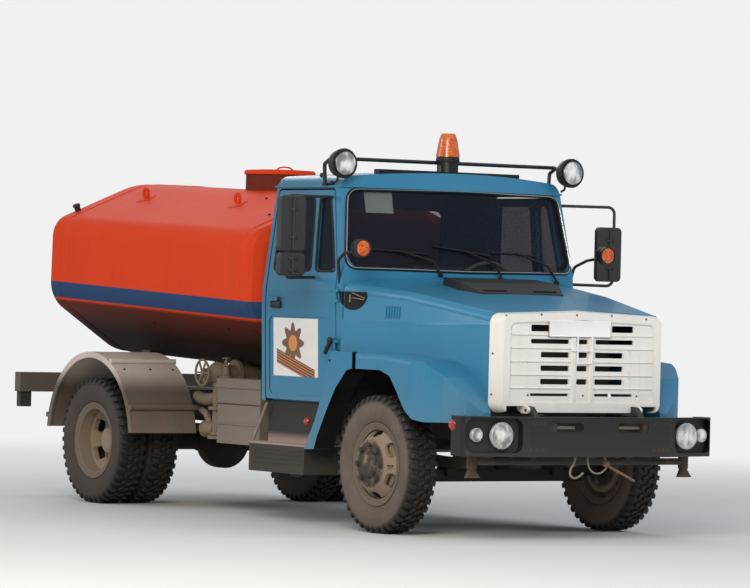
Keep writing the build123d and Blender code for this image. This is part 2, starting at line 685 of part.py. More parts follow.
def cab_form(inset):
    bottom = CAB_BOTTOM + inset
    half = [(CAB_HALF_LOW - inset, bottom), (CAB_HALF_BELT - inset, BELT_Z), (CAB_HALF_TOP - inset, EAVES_Z)]
    roof_y, roof_z = CAB_HALF_ROOF - inset * 0.6, ROOF_EDGE_Z - inset * 0.8
    turn_y = (CAB_HALF_TOP + CAB_HALF_ROOF) / 2 + 14 - inset * 0.8
    turn_z = (EAVES_Z + ROOF_EDGE_Z) / 2 + 12 - inset * 0.6
    right = [(0, -y, z) for y, z in half]
    left = [(0, y, z) for y, z in half]
    outline = Polyline(*right[::-1], *left)
    corner_left = ThreePointArc(left[-1], (0, turn_y, turn_z), (0, roof_y, roof_z))
    crown = ThreePointArc((0, roof_y, roof_z), (0, 0, ROOF_TOP - inset), (0, -roof_y, roof_z))
    corner_right = ThreePointArc((0, -roof_y, roof_z), (0, -turn_y, turn_z), right[-1])
    section = make_face(outline + corner_left + crown + corner_right)
    form = extrude(Pos(CAB_REAR - 50, 0, 0) * section, amount=-CAB_REAR + 50, dir=(1, 0, 0))
    lean = (CAB_REAR_TOP - CAB_REAR) / (EAVES_Z - REAR_LEAN_Z)
    rear, high = CAB_REAR + inset, ROOF_TOP + 100
    side = [(rear, 0), (rear, REAR_LEAN_Z), (rear + lean * (high - REAR_LEAN_Z), high), (100, high), (100, 0)]
    form &= side_prism(side, -REACH, REACH)
    form &= bowed_block(COWL_X - inset, 0, (0, 0, 1), high)
    rake = Vector(-SCREEN_RAKE, 0, 1)
    return form & bowed_block(SCREEN_X - inset + SCREEN_Z * SCREEN_RAKE, 0, rake.normalized(),
        high * rake.length)


def side_face(points, radius):
    """Outline of (x, z) points with round corners, as a face on the truck's middle plane."""
    return make_face(FilletPolyline(*[(x, 0, z) for x, z in points], radius=radius, close=True))


def side_push(face, y_low, y_high):
    return extrude(Pos(0, y_low, 0) * face, amount=y_high - y_low, dir=(0, 1, 0))


def side_zone(gap):
    """Everything outside the inner face of the left side wall, less the gap."""
    low, belt, top = [half - CAB_WALL - gap for half in (CAB_HALF_LOW, CAB_HALF_BELT, CAB_HALF_TOP)]
    points = [(low, 0), (low, CAB_BOTTOM + CAB_WALL), (belt, BELT_Z), (top, EAVES_Z), (REACH, EAVES_Z),
        (REACH, 0)]
    return shape([(2 * CAB_REAR, y, z) for y, z in points], (1, 0, 0), -2 * CAB_REAR)


door_face = side_face(
    [(DOOR_FOOT, DOOR_BOTTOM), (DOOR_FRONT, DOOR_KNEE_Z), (DOOR_FRONT, SCREEN_Z - 40),
        (DOOR_FRONT_TOP, DOOR_TOP),
     (DOOR_REAR_TOP, DOOR_TOP), (DOOR_REAR, REAR_LEAN_Z), (DOOR_REAR, DOOR_BOTTOM)], 26)
outer_form = cab_form(0)
inner_form = cab_form(CAB_WALL)
shell = outer_form - inner_form
aperture_face = offset(door_face, amount=DOOR_GAP)
door_cut = side_push(aperture_face, 0, REACH) & side_zone(DOOR_GAP)
below_door = block(CAB_REAR + CAB_WALL, DOOR_FOOT, 0, REACH, 0, DOOR_BOTTOM) & side_zone(DOOR_GAP)
body_shell = shell - door_cut - mirrored(door_cut) - below_door - mirrored(below_door)

# Windscreen and rear window outlines across the truck, with round corners.
# Columns: half width low, half width at the top, lowest z, highest z, corner radius
SCREEN_OUTLINE = (976.0, 906.0, 1852.0, 2410.0, 92.0)
REAR_OUTLINE = (520.0, 500.0, 1880.0, 2300.0, 70.0)
rear_zone_x = (DOOR_REAR_TOP + DOOR_FRONT) / 2
front_zone = block(rear_zone_x, 0, -REACH, REACH, 0, 2 * ROOF_TOP)
rear_zone = block(2 * CAB_REAR, rear_zone_x, -REACH, REACH, 0, 2 * ROOF_TOP)


def window_prism(outline):
    half_low, half_top, z_low, z_top, radius = outline
    points = [(0, -half_low, z_low), (0, half_low, z_low), (0, half_top, z_top), (0, -half_top, z_top)]
    face = make_face(FilletPolyline(*points, radius=radius, close=True))
    return extrude(Pos(2 * CAB_REAR, 0, 0) * face, amount=-2 * CAB_REAR, dir=(1, 0, 0))


screen_opening = window_prism(SCREEN_OUTLINE) & front_zone
rear_opening = window_prism(REAR_OUTLINE) & rear_zone
body_shell -= screen_opening
body_shell -= rear_opening
glass_layer = cab_form(GLASS_INSET) - cab_form(GLASS_INSET + GLASS_WALL)
save("cab_windows", glass_layer & screen_opening, glass_layer & rear_opening)

# Panels of the shell: floor pan, front with the windscreen frame, rear wall with the lock pillars, roof.
floor_cut = block(2 * CAB_REAR, 0, -REACH, REACH, 0, CAB_BOTTOM + CAB_WALL)
roof_cut = block(2 * CAB_REAR, 0, -REACH, REACH, EAVES_Z, 2 * ROOF_TOP)
cab_floor = body_shell & floor_cut
cab_roof = body_shell & roof_cut
middle = body_shell - floor_cut - roof_cut
cab_rear = middle & rear_zone
cab_front = middle & front_zone

# Drip rail round the roof's sides and front, below the roof panel.
drip = cab_form(-DRIP_DEPTH) - outer_form
drip &= block(CAB_REAR_TOP - 30, 0, -REACH, REACH, EAVES_Z, EAVES_Z + DRIP_HEIGHT)
cab_roof += drip

# Fixed end of the wheel arch on the cab's side, behind the front wheel.
STRIP = [
    (-540.0, FENDER_TOP),
    (-262.0, FENDER_TOP),
    (-262.0, ARCH_TOP),
    (-330.0, ARCH_TOP - 12),
    (-470.0, 1000.0),
    (-590.0, 824.0),
    (-700.0, 640.0),
    (-735.0, 556.0),
    (-865.0, 548.0),
    (-730.0, 760.0),
    (-640.0, 960.0),
    (-598.0, 1120.0),
]
strip = side_prism(STRIP, CAB_HALF_LOW - CAB_WALL, FENDER_OUT)
strip -= side_prism([(x - 30, z - FENDER_WALL) for x, z in STRIP], 0,
    FENDER_OUT - FENDER_WALL) & block(-600, 0, 0, REACH, 0, 2000)
strip -= outer_form
hinge_eyes = []
hinge_cuts = []
door_barrels = []
for z in (1290.0, 1650.0):
    ends = [(z - HINGE_LENGTH / 2, z - HINGE_LENGTH / 4), (z + HINGE_LENGTH / 4, z + HINGE_LENGTH / 2)]
    for low, top in ends:
        hinge_eyes.append(rod((HINGE_X, HINGE_Y, low), (HINGE_X, HINGE_Y, top), HINGE_R))
        hinge_eyes.append(block(HINGE_X, HINGE_X + 44, CAB_HALF_LOW, HINGE_Y + HINGE_R - 4, low, top))
    hinge_eyes.append(rod((HINGE_X, HINGE_Y, ends[0][0]), (HINGE_X, HINGE_Y, ends[1][1]), HINGE_PIN_R))
    low, top = ends[0][1] + LAMP_FIT, ends[1][0] - LAMP_FIT
    hinge_cuts.append(rod((HINGE_X, HINGE_Y, ends[0][0] - 1), (HINGE_X, HINGE_Y, ends[1][1] + 1),
        HINGE_R + 3))
    barrel = rod((HINGE_X, HINGE_Y, low), (HINGE_X, HINGE_Y, top), HINGE_R)
    barrel += block(DOOR_FRONT - 40, HINGE_X, CAB_HALF_LOW, HINGE_Y + HINGE_R - 4, low, top)
    barrel -= rod((HINGE_X, HINGE_Y, 0), (HINGE_X, HINGE_Y, 3000), HINGE_PIN_R + RUNNING_FIT)
    door_barrels.append(barrel)
for cut in hinge_cuts:
    cab_front -= cut
    cab_front -= mirrored(cut)
for part in [strip] + hinge_eyes:
    cab_front += part
    cab_front += mirrored(part)
save("cab_floor", cab_floor)
save("cab_front", cab_front)
save("cab_rear_wall", cab_rear)
save("cab_roof", cab_roof)

# Doors: the side wall inside the door outline, with a pressed lower panel, a quarter light and a main window.
door = shell & side_push(door_face, 0, REACH) & side_zone(0)
press_face = side_face(
    [(DOOR_FOOT - 36, DOOR_BOTTOM + 36), (DOOR_FRONT - 52, DOOR_KNEE_Z), (DOOR_FRONT - 52, PRESS_TOP),
     (DOOR_REAR + 44, PRESS_TOP), (DOOR_REAR + 44, DOOR_BOTTOM + 36)], 50)
door -= side_push(press_face, 0, REACH) - cab_form(PRESS_DEPTH)
MAIN_WINDOW = [(-1002.0, SILL_Z), (-1014.0, WINDOW_TOP), (-1440.0, WINDOW_TOP), (-1494.0, SILL_Z)]
QUARTER_WINDOW = [(-680.0, SILL_Z), (-806.0, WINDOW_TOP), (-946.0, WINDOW_TOP), (-934.0, SILL_Z)]
door_glass = []
for outline in (MAIN_WINDOW, QUARTER_WINDOW):
    opening = side_push(side_face(outline, WINDOW_BEND), 0, REACH) & side_zone(DOOR_GAP)
    door -= opening
    door_glass.append(glass_layer & opening)
for cut in hinge_cuts:
    door -= cut
for barrel in door_barrels:
    door += barrel
handle = block(-1530, -1390, CAB_HALF_BELT - 14, CAB_HALF_BELT + 24, 1600, 1628)
door += handle
save("door_left", door)
save("door_right", mirrored(door))
save("door_glass_left", *door_glass)
save("door_glass_right", *[mirrored(pane) for pane in door_glass])

# Mirrors on tube frames bolted to the doors: two heads on the right, one on the left.
tube_y = MIRROR_OUT - MIRROR_WIDE / 2 + 44
MIRROR_FRAME = [(-948, CAB_HALF_BELT - 8, 1776), (MIRROR_X, tube_y, 1768), (MIRROR_X, tube_y, 2352),
    (-800, 940, 2352)]
MIRROR_HEADS = {"left": [(1800.0, 2203.0)], "right": [(1782.0, 1946.0), (1954.0, 2352.0)]}
for side, name in ((1, "left"), (-1, "right")):
    mirrors = bent_tube(MIRROR_FRAME, 50, MIRROR_TUBE_R)
    for low, top in MIRROR_HEADS[name]:
        outline = Plane.YZ * (Pos(MIRROR_OUT - MIRROR_WIDE / 2,
            (low + top) / 2) * RectangleRounded(MIRROR_WIDE, top - low, 36))
        head = extrude(Pos(MIRROR_X - 28, 0, 0) * outline, amount=44)
        mirrors += fillet(head.faces().sort_by(Axis.X)[-1].edges(), 14)
    mirrors -= cab_form(-LAMP_FIT)
    save("mirrors_" + name, mirrors if side > 0 else mirrored(mirrors))

# Hood: sections from the grille to the cowl.
# Columns: x, half width low, half width at the shoulder, shoulder z, half width on top, edge z, crown z
HOOD_SECTIONS = [
    (GRILLE_X - GRILLE_DEPTH, GRILLE_BASE_HALF, 720.0, 1500.0, 662.0, 1566.0, 1590.0),
    (93.0, 880.0, 868.0, 1620.0, 806.0, 1688.0, 1713.0),
    (-560.0, 1012.0, 1000.0, 1670.0, 928.0, 1757.0, 1806.0),
]


def hood_form(inset):
    faces = []
    for x, low, shoulder, shoulder_z, top, edge_z, crown in HOOD_SECTIONS:
        reach = x + (60 if x > 0.5 * GRILLE_X and inset else 0)
        side = [(low - inset, HOOD_LOW - 20), (low - inset, HOOD_CREASE_Z),
            (shoulder + 6 - inset, HOOD_CREASE_Z + 10),
                (shoulder - inset, shoulder_z)]
        outline = Polyline(*[(reach, -y, z) for y, z in reversed(side)], *[(reach, y, z) for y, z in side])
        bend_y, bend_z = shoulder - 0.22 * (shoulder - top) - inset * 0.8, edge_z - 0.22 * (edge_z - shoulder_z) - inset * 0.8
        outline += ThreePointArc((reach, shoulder - inset, shoulder_z), (reach, bend_y, bend_z),
            (reach, top - inset, edge_z - inset))
        outline += ThreePointArc((reach, top - inset, edge_z - inset), (reach, 0, crown - inset),
            (reach, inset - top, edge_z - inset))
        outline += ThreePointArc((reach, inset - top, edge_z - inset), (reach, -bend_y, bend_z),
            (reach, inset - shoulder, shoulder_z))
        faces.append(make_face(outline))
    return loft(faces, ruled=True)


FENDER_LINE = [(-250.0, FENDER_TOP), (150.0, FENDER_TOP - 2), (560.0, 1225.0), (745.0, 1120.0),
    (905.0, 880.0)]
# Front fender seen from above: its outside draws in to the radiator grille.
FENDER_PLAN = [
    (-400.0, 0.0),
    (-400.0, FENDER_OUT + 30.0),
    (440.0, FENDER_OUT + 30.0),
    (470.0, FENDER_OUT),
    (610.0, 1075.0),
    (740.0, 1008.0),
    (850.0, 890.0),
    (930.0, 740.0),
    (930.0, 0.0),
]
LIP_LINE = [
    (905.0, 806.0),
    (600.0, 800.0),
    (500.0, 815.0),
    (405.0, 880.0),
    (300.0, 1010.0),
    (215.0, 1105.0),
    (90.0, ARCH_TOP),
    (-250.0, ARCH_TOP),
]
under_fender = side_prism([(-700.0, 0.0), (-700.0, FENDER_TOP)] + FENDER_LINE + [(905.0, 0.0)], -REACH, REACH)
hood_outer = hood_form(0)
hood = hood_outer - hood_form(HOOD_WALL)
hood -= under_fender
hood -= Pos(HOOD_GAP, 0, 0) * outer_form
save("hood", hood)

# Air intake: a low wedge on the hood's rear half, open to the rear.
# Columns: x, half width, height over the hood's crown at that x
SCOOP_FRONT = (225.0, 350.0, 4.0)
SCOOP_REAR = (62.0, 420.0, 50.0)
SCOOP_TAIL = (-190.0, 395.0, 46.0)


def crown_at(x):
    (x0, *_, z0), (x1, *_, z1), (x2, *_, z2) = HOOD_SECTIONS
    if x > x1:
        return z1 + (z0 - z1) * (x - x1) / (x0 - x1)
    return z1 + (z2 - z1) * (x - x1) / (x2 - x1)


def scoop_face(station, drop):
    x, half, height = station
    top = crown_at(x) + height - drop
    low = crown_at(x) - 60
    points = [(x, -half - 14 + drop, low), (x, half + 14 - drop, low), (x, half - drop, top),
        (x, -half + drop, top)]
    return make_face(Polyline(*points, close=True))


scoop = loft([scoop_face(SCOOP_FRONT, 0), scoop_face(SCOOP_REAR, 0)], ruled=True)
scoop += loft([scoop_face(SCOOP_REAR, 0), scoop_face(SCOOP_TAIL, 0)], ruled=True)
scoop_hollow = loft([scoop_face(SCOOP_REAR, 8), scoop_face((SCOOP_TAIL[0] - 10, SCOOP_TAIL[1],
    SCOOP_TAIL[2]), 8)], ruled=True)
save("hood_scoop", scoop - scoop_hollow - hood_outer)

# Front fenders: round-edged shells, open below over the wheel.
fender = side_prism(FENDER_LINE + LIP_LINE, FENDER_IN, FENDER_OUT)
crest = [edge for edge in fender.edges() if abs(edge.center().Y - FENDER_OUT) < 1
    and edge.center().Z > ARCH_TOP + 20]
crest += [edge for edge in fender.edges() if abs(edge.center().Y - FENDER_OUT) < 1
    and edge.center().X > 740 and edge.center().Z > 900]
fender = fillet(crest, FENDER_ROUND)
hollow_face = make_face(Polyline(*[(x, 0, z) for x, z in [(-300.0, 0.0),
    (-300.0, FENDER_TOP)] + FENDER_LINE + [(905.0, 0.0)]], close=True))
hollow_face = offset(hollow_face, amount=-FENDER_WALL, kind=Kind.INTERSECTION)
hollow = side_push(hollow_face, FENDER_IN + FENDER_WALL, FENDER_OUT - FENDER_WALL)
plan_face = make_face(Polyline(*FENDER_PLAN, close=True))
plan_hollow = offset(plan_face, amount=-FENDER_WALL, kind=Kind.INTERSECTION)
hollow &= extrude(plan_hollow, amount=FENDER_TOP, dir=(0, 0, 1))
fender &= extrude(plan_face, amount=FENDER_TOP + 100, dir=(0, 0, 1))
fender -= hollow
fender -= Pos(HOOD_GAP, 0, 0) * outer_form
save("front_fenders", *pair(fender))

# Grille: a crowned pan with chamfered sides, a raised rim and rows of slots between pressed ribs.
# Columns: z of the slot's middle, height, then the |y| limits of its side slots and half the centre slot
SLOT_ROWS = [
    (1465.0, 46.0, (250.0, 438.0), 0.0),
    (1374.0, 32.0, (112.0, 438.0), 47.0),
    (1282.0, 38.0, (110.0, 352.0), 46.0),
    (1189.0, 38.0, (110.0, 352.0), 46.0),
    (1097.0, 38.0, (110.0, 352.0), 46.0),
    (1006.0, 19.0, (110.0, 438.0), 0.0),
]
RIB_HEIGHT = 12.0
RIB_REACH = 604.0


def grille_outline(x, half, low, corner, crown, radius):
    points = [(x, -half, low), (x, half, low), (x, half, corner), (x, 0, crown), (x, -half, corner)]
    return make_face(FilletPolyline(*points, radius=radius, close=True))


base_x = GRILLE_X - GRILLE_DEPTH
pan = loft([grille_outline(base_x, GRILLE_BASE_HALF, GRILLE_LOW - 4, 1560, 1590, 74),
            grille_outline(GRILLE_X, GRILLE_HALF, GRILLE_LOW, GRILLE_CORNER_Z, GRILLE_TOP, 60)], ruled=True)
wall = 14
pan -= loft([grille_outline(base_x - 1, GRILLE_BASE_HALF - wall, GRILLE_LOW - 4 + wall, 1560 - wall,
    1590 - wall, 62),
             grille_outline(GRILLE_X - GRILLE_FACE, GRILLE_HALF - 8, GRILLE_LOW + wall,
                 GRILLE_CORNER_Z - wall, GRILLE_TOP - wall, 50)],
            ruled=True)
field_low = SLOT_ROWS[-1][0] - GRILLE_RIM
field = grille_outline(GRILLE_X - FIELD_DEPTH, GRILLE_HALF - GRILLE_RIM, field_low,
    GRILLE_CORNER_Z - GRILLE_RIM, GRILLE_TOP - GRILLE_RIM, 46)
pan -= extrude(field, amount=100, dir=(1, 0, 0))
rib_x = GRILLE_X - FIELD_DEPTH - 2
for (z, height, (inner, outer), centre), below in zip(SLOT_ROWS, SLOT_ROWS[1:]):
    rib_z = (z + below[0]) / 2
    for side in (-1, 1):
        near, end = sorted((side * inner * 0.9, side * RIB_REACH))
        rib = block(rib_x, GRILLE_X - 3, near, end, rib_z - RIB_HEIGHT / 2, rib_z + RIB_HEIGHT / 2)
        pan += chamfer(rib.edges().filter_by(Axis.Y).group_by(Axis.X)[-1], 4)
for side in (-1, 1):
    column = block(rib_x, GRILLE_X - 2, side * 78 - 20, side * 78 + 20, field_low - 5, SLOT_ROWS[0][0] - 30)
    pan += chamfer(column.edges().filter_by(Axis.Z).group_by(Axis.X)[-1], 6)
for z, height, (inner, outer), centre in SLOT_ROWS:
    spans = [(-outer, -inner), (inner, outer)] + ([(-centre, centre)] if centre else [])
    for near, end in spans:
        slot = Plane.YZ * (Pos((near + end) / 2, z) * RectangleRounded(end - near, height,
            min(8, height / 2 - 1)))
        pan -= extrude(Pos(base_x, 0, 0) * slot, amount=200)
for side in (-1, 1):
    near, end = sorted((side * 420, side * 640))
    pan -= block(base_x - 10, GRILLE_X + 10, near, end, GRILLE_LOW - 20, HOOD_HINGE_Z + HOOD_EYE_R + 4)
    arm = side_prism(
        [(base_x + 12, HOOD_HINGE_Z), (base_x + 12, HOOD_HINGE_Z + 110), (GRILLE_X - 20, HOOD_HINGE_Z + 110),
         (HOOD_HINGE_X, HOOD_HINGE_Z + HOOD_EYE_R), (HOOD_HINGE_X, HOOD_HINGE_Z - HOOD_EYE_R),
             (base_x + 60, HOOD_HINGE_Z - 20)],
        HINGE_ARM_Y, HINGE_ARM_Y + HINGE_ARM_WALL)
    arm += disc_y(HOOD_HINGE_X, HOOD_HINGE_Z, HOOD_EYE_R, HINGE_ARM_Y, HINGE_ARM_Y + HINGE_ARM_WALL)
    arm -= disc_y(HOOD_HINGE_X, HOOD_HINGE_Z, HOOD_PIN_R + RUNNING_FIT, 0, REACH)
    arm -= block(GRILLE_X - 1, GRILLE_X + 200, 0, REACH, HOOD_HINGE_Z + HOOD_EYE_R + 6, 2000)
    pan += arm if side > 0 else mirrored(arm)
save("grille", pan)


# Tank: flat sides and sloping shoulders with round corners, two shallow domed heads, set a little nose down.
TANK_CORNERS = [(310.0, TANK_TOP, 600.0), (TANK_HALF, 2121.0, 180.0), (TANK_HALF, 1512.0, 260.0),
    (430.0, TANK_LOW, 400.0)]
HEAD_STEPS = [(0, 1.0), (0.30, 0.972), (0.56, 0.905), (0.80, 0.76), (1.0, 0.44)]


def tank_section(x, scale):
    """Half width, heights and corner radii shrink together towards a head."""
    half = [(y * scale, TANK_MID + (z - TANK_MID) * scale, radius * scale) for y, z, radius in TANK_CORNERS]
    ring = [(x, y, z) for y, z, radius in half] + [(x, -y, z) for y, z, radius in reversed(half)]
    section = make_face(Polyline(*ring, close=True))
    for y, z, radius in half:
        corners = [point for point in section.vertices() if abs(abs(point.Y) - y) < 0.5
            and abs(point.Z - z) < 0.5]
        section = fillet(corners, radius)
    return section


barrel = extrude(tank_section(TANK_REAR, 1.0), amount=TANK_FRONT - TANK_REAR, dir=(1, 0, 0))
for start, sign in ((TANK_FRONT, 1), (TANK_REAR, -1)):
    barrel += loft([tank_section(start + sign * TANK_HEAD * step, scale) for step, scale in HEAD_STEPS],
        ruled=True)
barrel = barrel.rotate(Axis((NECK_X, 0, TANK_TOP), (0, 1, 0)), TANK_TILT)
neck = rod((NECK_X, 0, TANK_TOP - 60), (NECK_X, 0, NECK_TOP), NECK_R)
well = rod((NECK_X, 0, NECK_TOP - WELL_DEPTH), (NECK_X, 0, NECK_TOP + 10), WELL_R)
tank = barrel + neck
lid_low = NECK_TOP + LID_LIFT
lid = rod((NECK_X, 0, lid_low), (NECK_X, 0, lid_low + LID_WALL), LID_R)
lid = chamfer(lid.edges().filter_by(GeomType.CIRCLE).group_by(Axis.Z)[-1], 12)
hinge_x = NECK_X - LID_R - LID_HINGE_BACK
hinge_z = lid_low + LID_WALL / 2
for side in (-1, 1):
    near, end = side * 60 - 14, side * 60 + 14
    lid += block(hinge_x, NECK_X - LID_R + 30, near, end, hinge_z - LID_HINGE_R, hinge_z + LID_HINGE_R)
    lid += disc_y(hinge_x, hinge_z, LID_HINGE_R, near, end)
lid -= disc_y(hinge_x, hinge_z, LID_PIN_R + RUNNING_FIT, -100, 100)
save("tank_lid", lid)
tank += disc_y(hinge_x, hinge_z, LID_PIN_R, -74, 74)
tank += disc_y(hinge_x, hinge_z, LID_HINGE_R, -40, 40)
tank += block(hinge_x - LID_HINGE_R, hinge_x + LID_HINGE_R, -40, 40, TANK_TOP - 60, hinge_z)
save("water_tank", tank - well)

# Saddles between the rails and the barrel.
saddles = []
for place in (TANK_FRONT - 473, TANK_REAR + 519):
    saddle = block(place - 60, place + 60, RAIL_HALF - RAIL_FLANGE, SADDLE_HALF, RAIL_TOP, TANK_MID - 250)
    saddles += pair(saddle - barrel)
save("tank_saddles", *saddles)


# Rear mudguards: half round sheets with a turned lip on the outside, on two stays from each rail.
def arch_disc(radius, y_low, y_high):
    return disc_y(REAR_AXLE, ARCH_Z, radius, y_low, y_high)


rear_fender = arch_disc(ARCH_R, REAR_FENDER_IN, REAR_FENDER_OUT)
rear_fender -= arch_disc(ARCH_R - REAR_FENDER_WALL, 0, REAR_FENDER_OUT - REAR_FENDER_WALL)
rear_fender -= arch_disc(ARCH_R - REAR_FENDER_LIP, 0, REAR_FENDER_OUT + 10)
rear_fender -= block(REAR_AXLE - 2 * ARCH_R, REAR_AXLE + 2 * ARCH_R, 0, 2 * REAR_FENDER_OUT, -ARCH_R,
    REAR_FENDER_FOOT)
for angle, reach in ((22.0, RAIL_HALF), (62.0, REAR_FENDER_IN), (STAY_ANGLE, RAIL_HALF)):
    run = ARCH_R + STAY_R - 4
    stay_x = REAR_AXLE + run * math.cos(math.radians(angle))
    stay_z = ARCH_Z + run * math.sin(math.radians(angle))
    rear_fender += disc_y(stay_x, stay_z, STAY_R, reach, REAR_FENDER_OUT)
save("rear_fenders", *pair(rear_fender))

# Side boxes: battery box on the right, fuel tank on the left.
battery_box = block(BOX_REAR, BOX_FRONT, -BOX_OUT, -BOX_IN, BOX_LOW, BOX_TOP - 40)
battery_box += block(BOX_REAR - 8, BOX_FRONT + 8, -BOX_OUT - 8, -BOX_IN, BOX_TOP - 70, BOX_TOP)
battery_box = fillet(battery_box.edges().filter_by(Axis.Z), 7)
battery_box += block(BOX_REAR + 110, BOX_FRONT - 110, -BOX_IN, -RAIL_HALF, rail_low + 48, rail_low + 108)
save("battery_box", battery_box)
fuel_tank = block(BOX_REAR - 240, BOX_FRONT - 40, BOX_IN, BOX_OUT + 60, 480, 960)
fuel_tank = fillet(fuel_tank.edges().filter_by(Axis.X), 70)
fuel_tank += block(BOX_REAR - 90, BOX_FRONT - 190, RAIL_HALF, BOX_IN, rail_low + 48, rail_low + 108)
save("fuel_tank", fuel_tank)

# Cab steps: a folded box below each door with a splash panel up to the cab, on arms from the rail.
step = block(STEP_REAR, STEP_FRONT, 700, STEP_OUT, STEP_LOW, STEP_TOP)
step = fillet(step.edges().filter_by(Axis.X).group_by(Axis.Y)[-1].sort_by(Axis.Z)[-1], 20)
step -= block(STEP_REAR + STEP_WALL, STEP_FRONT - STEP_WALL, 600, STEP_OUT - STEP_WALL, STEP_LOW - 10,
    STEP_TOP - STEP_WALL)
for x in (STEP_REAR + 120, STEP_FRONT - 128 - 60):
    step += block(x, x + 60, RAIL_HALF + 30, STEP_OUT - STEP_WALL / 2, STEP_TOP - 55,
        STEP_TOP - STEP_WALL / 2)
    step += block(x, x + 60, RAIL_HALF, RAIL_HALF + 30, STEP_TOP - 55, rail_low + 90)
SPLASH = [(STEP_REAR + 20, STEP_TOP - 4), (-1000, STEP_TOP - 4), (-760, 735), (-692, RAIL_TOP - LAMP_FIT),
          (STEP_REAR + 30, RAIL_TOP - LAMP_FIT)]
step += side_prism(SPLASH, 940, 940 + STEP_WALL)
save("cab_steps", *pair(step))

# Seats, dashboard and steering wheel.
CUSHION_LOW, CUSHION_TOP, BACK_TOP = 1150.0, 1290.0, 1900.0
seats = []
for near, end, inset in ((180, 700, 40), (-860, -60, 40)):
    seat = block(-1480, -1010, near, end, CUSHION_LOW, CUSHION_TOP)
    seat += side_prism([(-1500, CUSHION_LOW), (-1400, CUSHION_LOW), (-1400, CUSHION_TOP), (-1425, BACK_TOP),
                        (-1530, BACK_TOP)], near, end)
    seat = fillet(seat.edges().filter_by(Axis.Y), 18)
    seats.append(seat + block(-1450, -1040, near + inset, end - inset, CAB_BOTTOM + CAB_WALL, CUSHION_LOW))
save("seats", *seats)
DASH = [(-800.0, 1480.0), (-770.0, 1700.0), (-700.0, 1790.0), (-300.0, 1810.0), (-300.0, 1560.0),
    (-640.0, 1480.0)]
dash = side_prism(DASH, -880, 880) & cab_form(CAB_WALL + LAMP_FIT)
save("dashboard", dash)
column_foot, column_head = (-770, 440, 1600), (-960, 440, 1740)
wheel_plane = Plane(origin=column_head, z_dir=(column_head[0] - column_foot[0], 0,
    column_head[2] - column_foot[2]))
steering = rod(column_foot, column_head, 26) + wheel_plane * Torus(220, 14)
steering += wheel_plane * Cylinder(52, 30)
for angle in (90, 210, 330):
    steering += wheel_plane * Rot(0, 0, angle) * Pos(110, 0, 0) * Box(220, 30, 14)
save("steering_wheel", steering - dash)

# Roof: hoop over the roof with a lamp on each side, a low bar with the beacon, turn signals on stalks.
foot_x = RACK_X - 85
gutter = EAVES_Z + DRIP_HEIGHT + LAMP_FIT
hoop_half = [(foot_x, RACK_HALF - 9, gutter), (foot_x, RACK_HALF, RACK_Z - 40), (RACK_X, RACK_HALF, RACK_Z)]
hoop = bent_tube([(x, -y, z) for x, y, z in hoop_half] + hoop_half[::-1], 26, RACK_R)
hoop -= block(foot_x - 50, foot_x + 50, -REACH, REACH, gutter - 60, gutter)
roof_items = [hoop]
for side in (-1, 1):
    near, end = sorted((side * (CAB_HALF_TOP - 20), side * (RACK_HALF + 4)))
    roof_items[0] += block(foot_x - 30, foot_x + 30, near, end, gutter, gutter + 14) - cab_form(-LAMP_FIT)
    roof_items[0] += rod((RACK_X, side * (RACK_HALF - 30), RACK_Z),
        (-640, side * ROOF_LAMP_Y, ROOF_LAMP_Z), 12)
    roof_items[0] += turned_x(lamp_body(ROOF_LAMP_R, 60), -604, side * ROOF_LAMP_Y, ROOF_LAMP_Z)
low_bar = block(BEACON_X - 34, BEACON_X + 34, -615, 615, ROOF_EDGE_Z - 20,
    ROOF_TOP + 16) - cab_form(-LAMP_FIT)
beacon = Polyline((0, 0, ROOF_TOP + 10), (78, 0, ROOF_TOP + 10), (78, 0, 2640), (66, 0, 2660),
    (62, 0, BEACON_TOP - 30), (50, 0, BEACON_TOP),
                  (0, 0, BEACON_TOP), close=True)
low_bar += Pos(BEACON_X, 0, 0) * revolve(make_face(beacon), axis=Axis.Z)
save("roof_lamps", *roof_items, low_bar)
stalk = [(-612, CAB_HALF_BELT - 12, 1735), (-590, 1034, 1900), (-470, 1062, 1950), (-262, 1066, 1975)]
signal = bent_tube(stalk, 40, 11) + rod((-275, 1066, 1988), (-218, 1066, 1988), 64)
save("signal_lamps", *pair(signal - cab_form(-LAMP_FIT)), *pair(tail_lamp))

# Water pipes: suction pipe from the tank, a side run with a gate valve and its handwheel, a leg with a hose coupling.
PIPE_X, PIPE_Z, VALVE_Y, LEG_LOW = -2740.0, 1040.0, -690.0, 540.0
pipes = bent_tube([(PIPE_X, -300, TANK_LOW + 100), (PIPE_X, -300, PIPE_Z), (PIPE_X, VALVE_Y, PIPE_Z)],
    75, 57) - barrel
pipes += Pos(PIPE_X, VALVE_Y, PIPE_Z) * Sphere(88)
pipes += disc_y(PIPE_X, PIPE_Z, 100, -560, -530)
pipes += rod((PIPE_X, VALVE_Y, PIPE_Z), (PIPE_X, VALVE_Y, LEG_LOW), 45)
for low, radius in ((LEG_LOW, 78), (LEG_LOW + 30, 62), (760, 76)):
    pipes += rod((PIPE_X, VALVE_Y, low), (PIPE_X, VALVE_Y, low + 24), radius)
wheel_y = VALVE_Y - 150
pipes += disc_y(PIPE_X, PIPE_Z, 14, wheel_y, VALVE_Y)
pipes += Pos(PIPE_X, wheel_y, PIPE_Z) * (Rot(90, 0, 0) * Torus(96, 9))
for angle in (0, 60, 120):
    pipes += Pos(PIPE_X, wheel_y, PIPE_Z) * (Rot(0, angle, 0) * Box(192, 10, 14))
save("water_pipes", pipes)

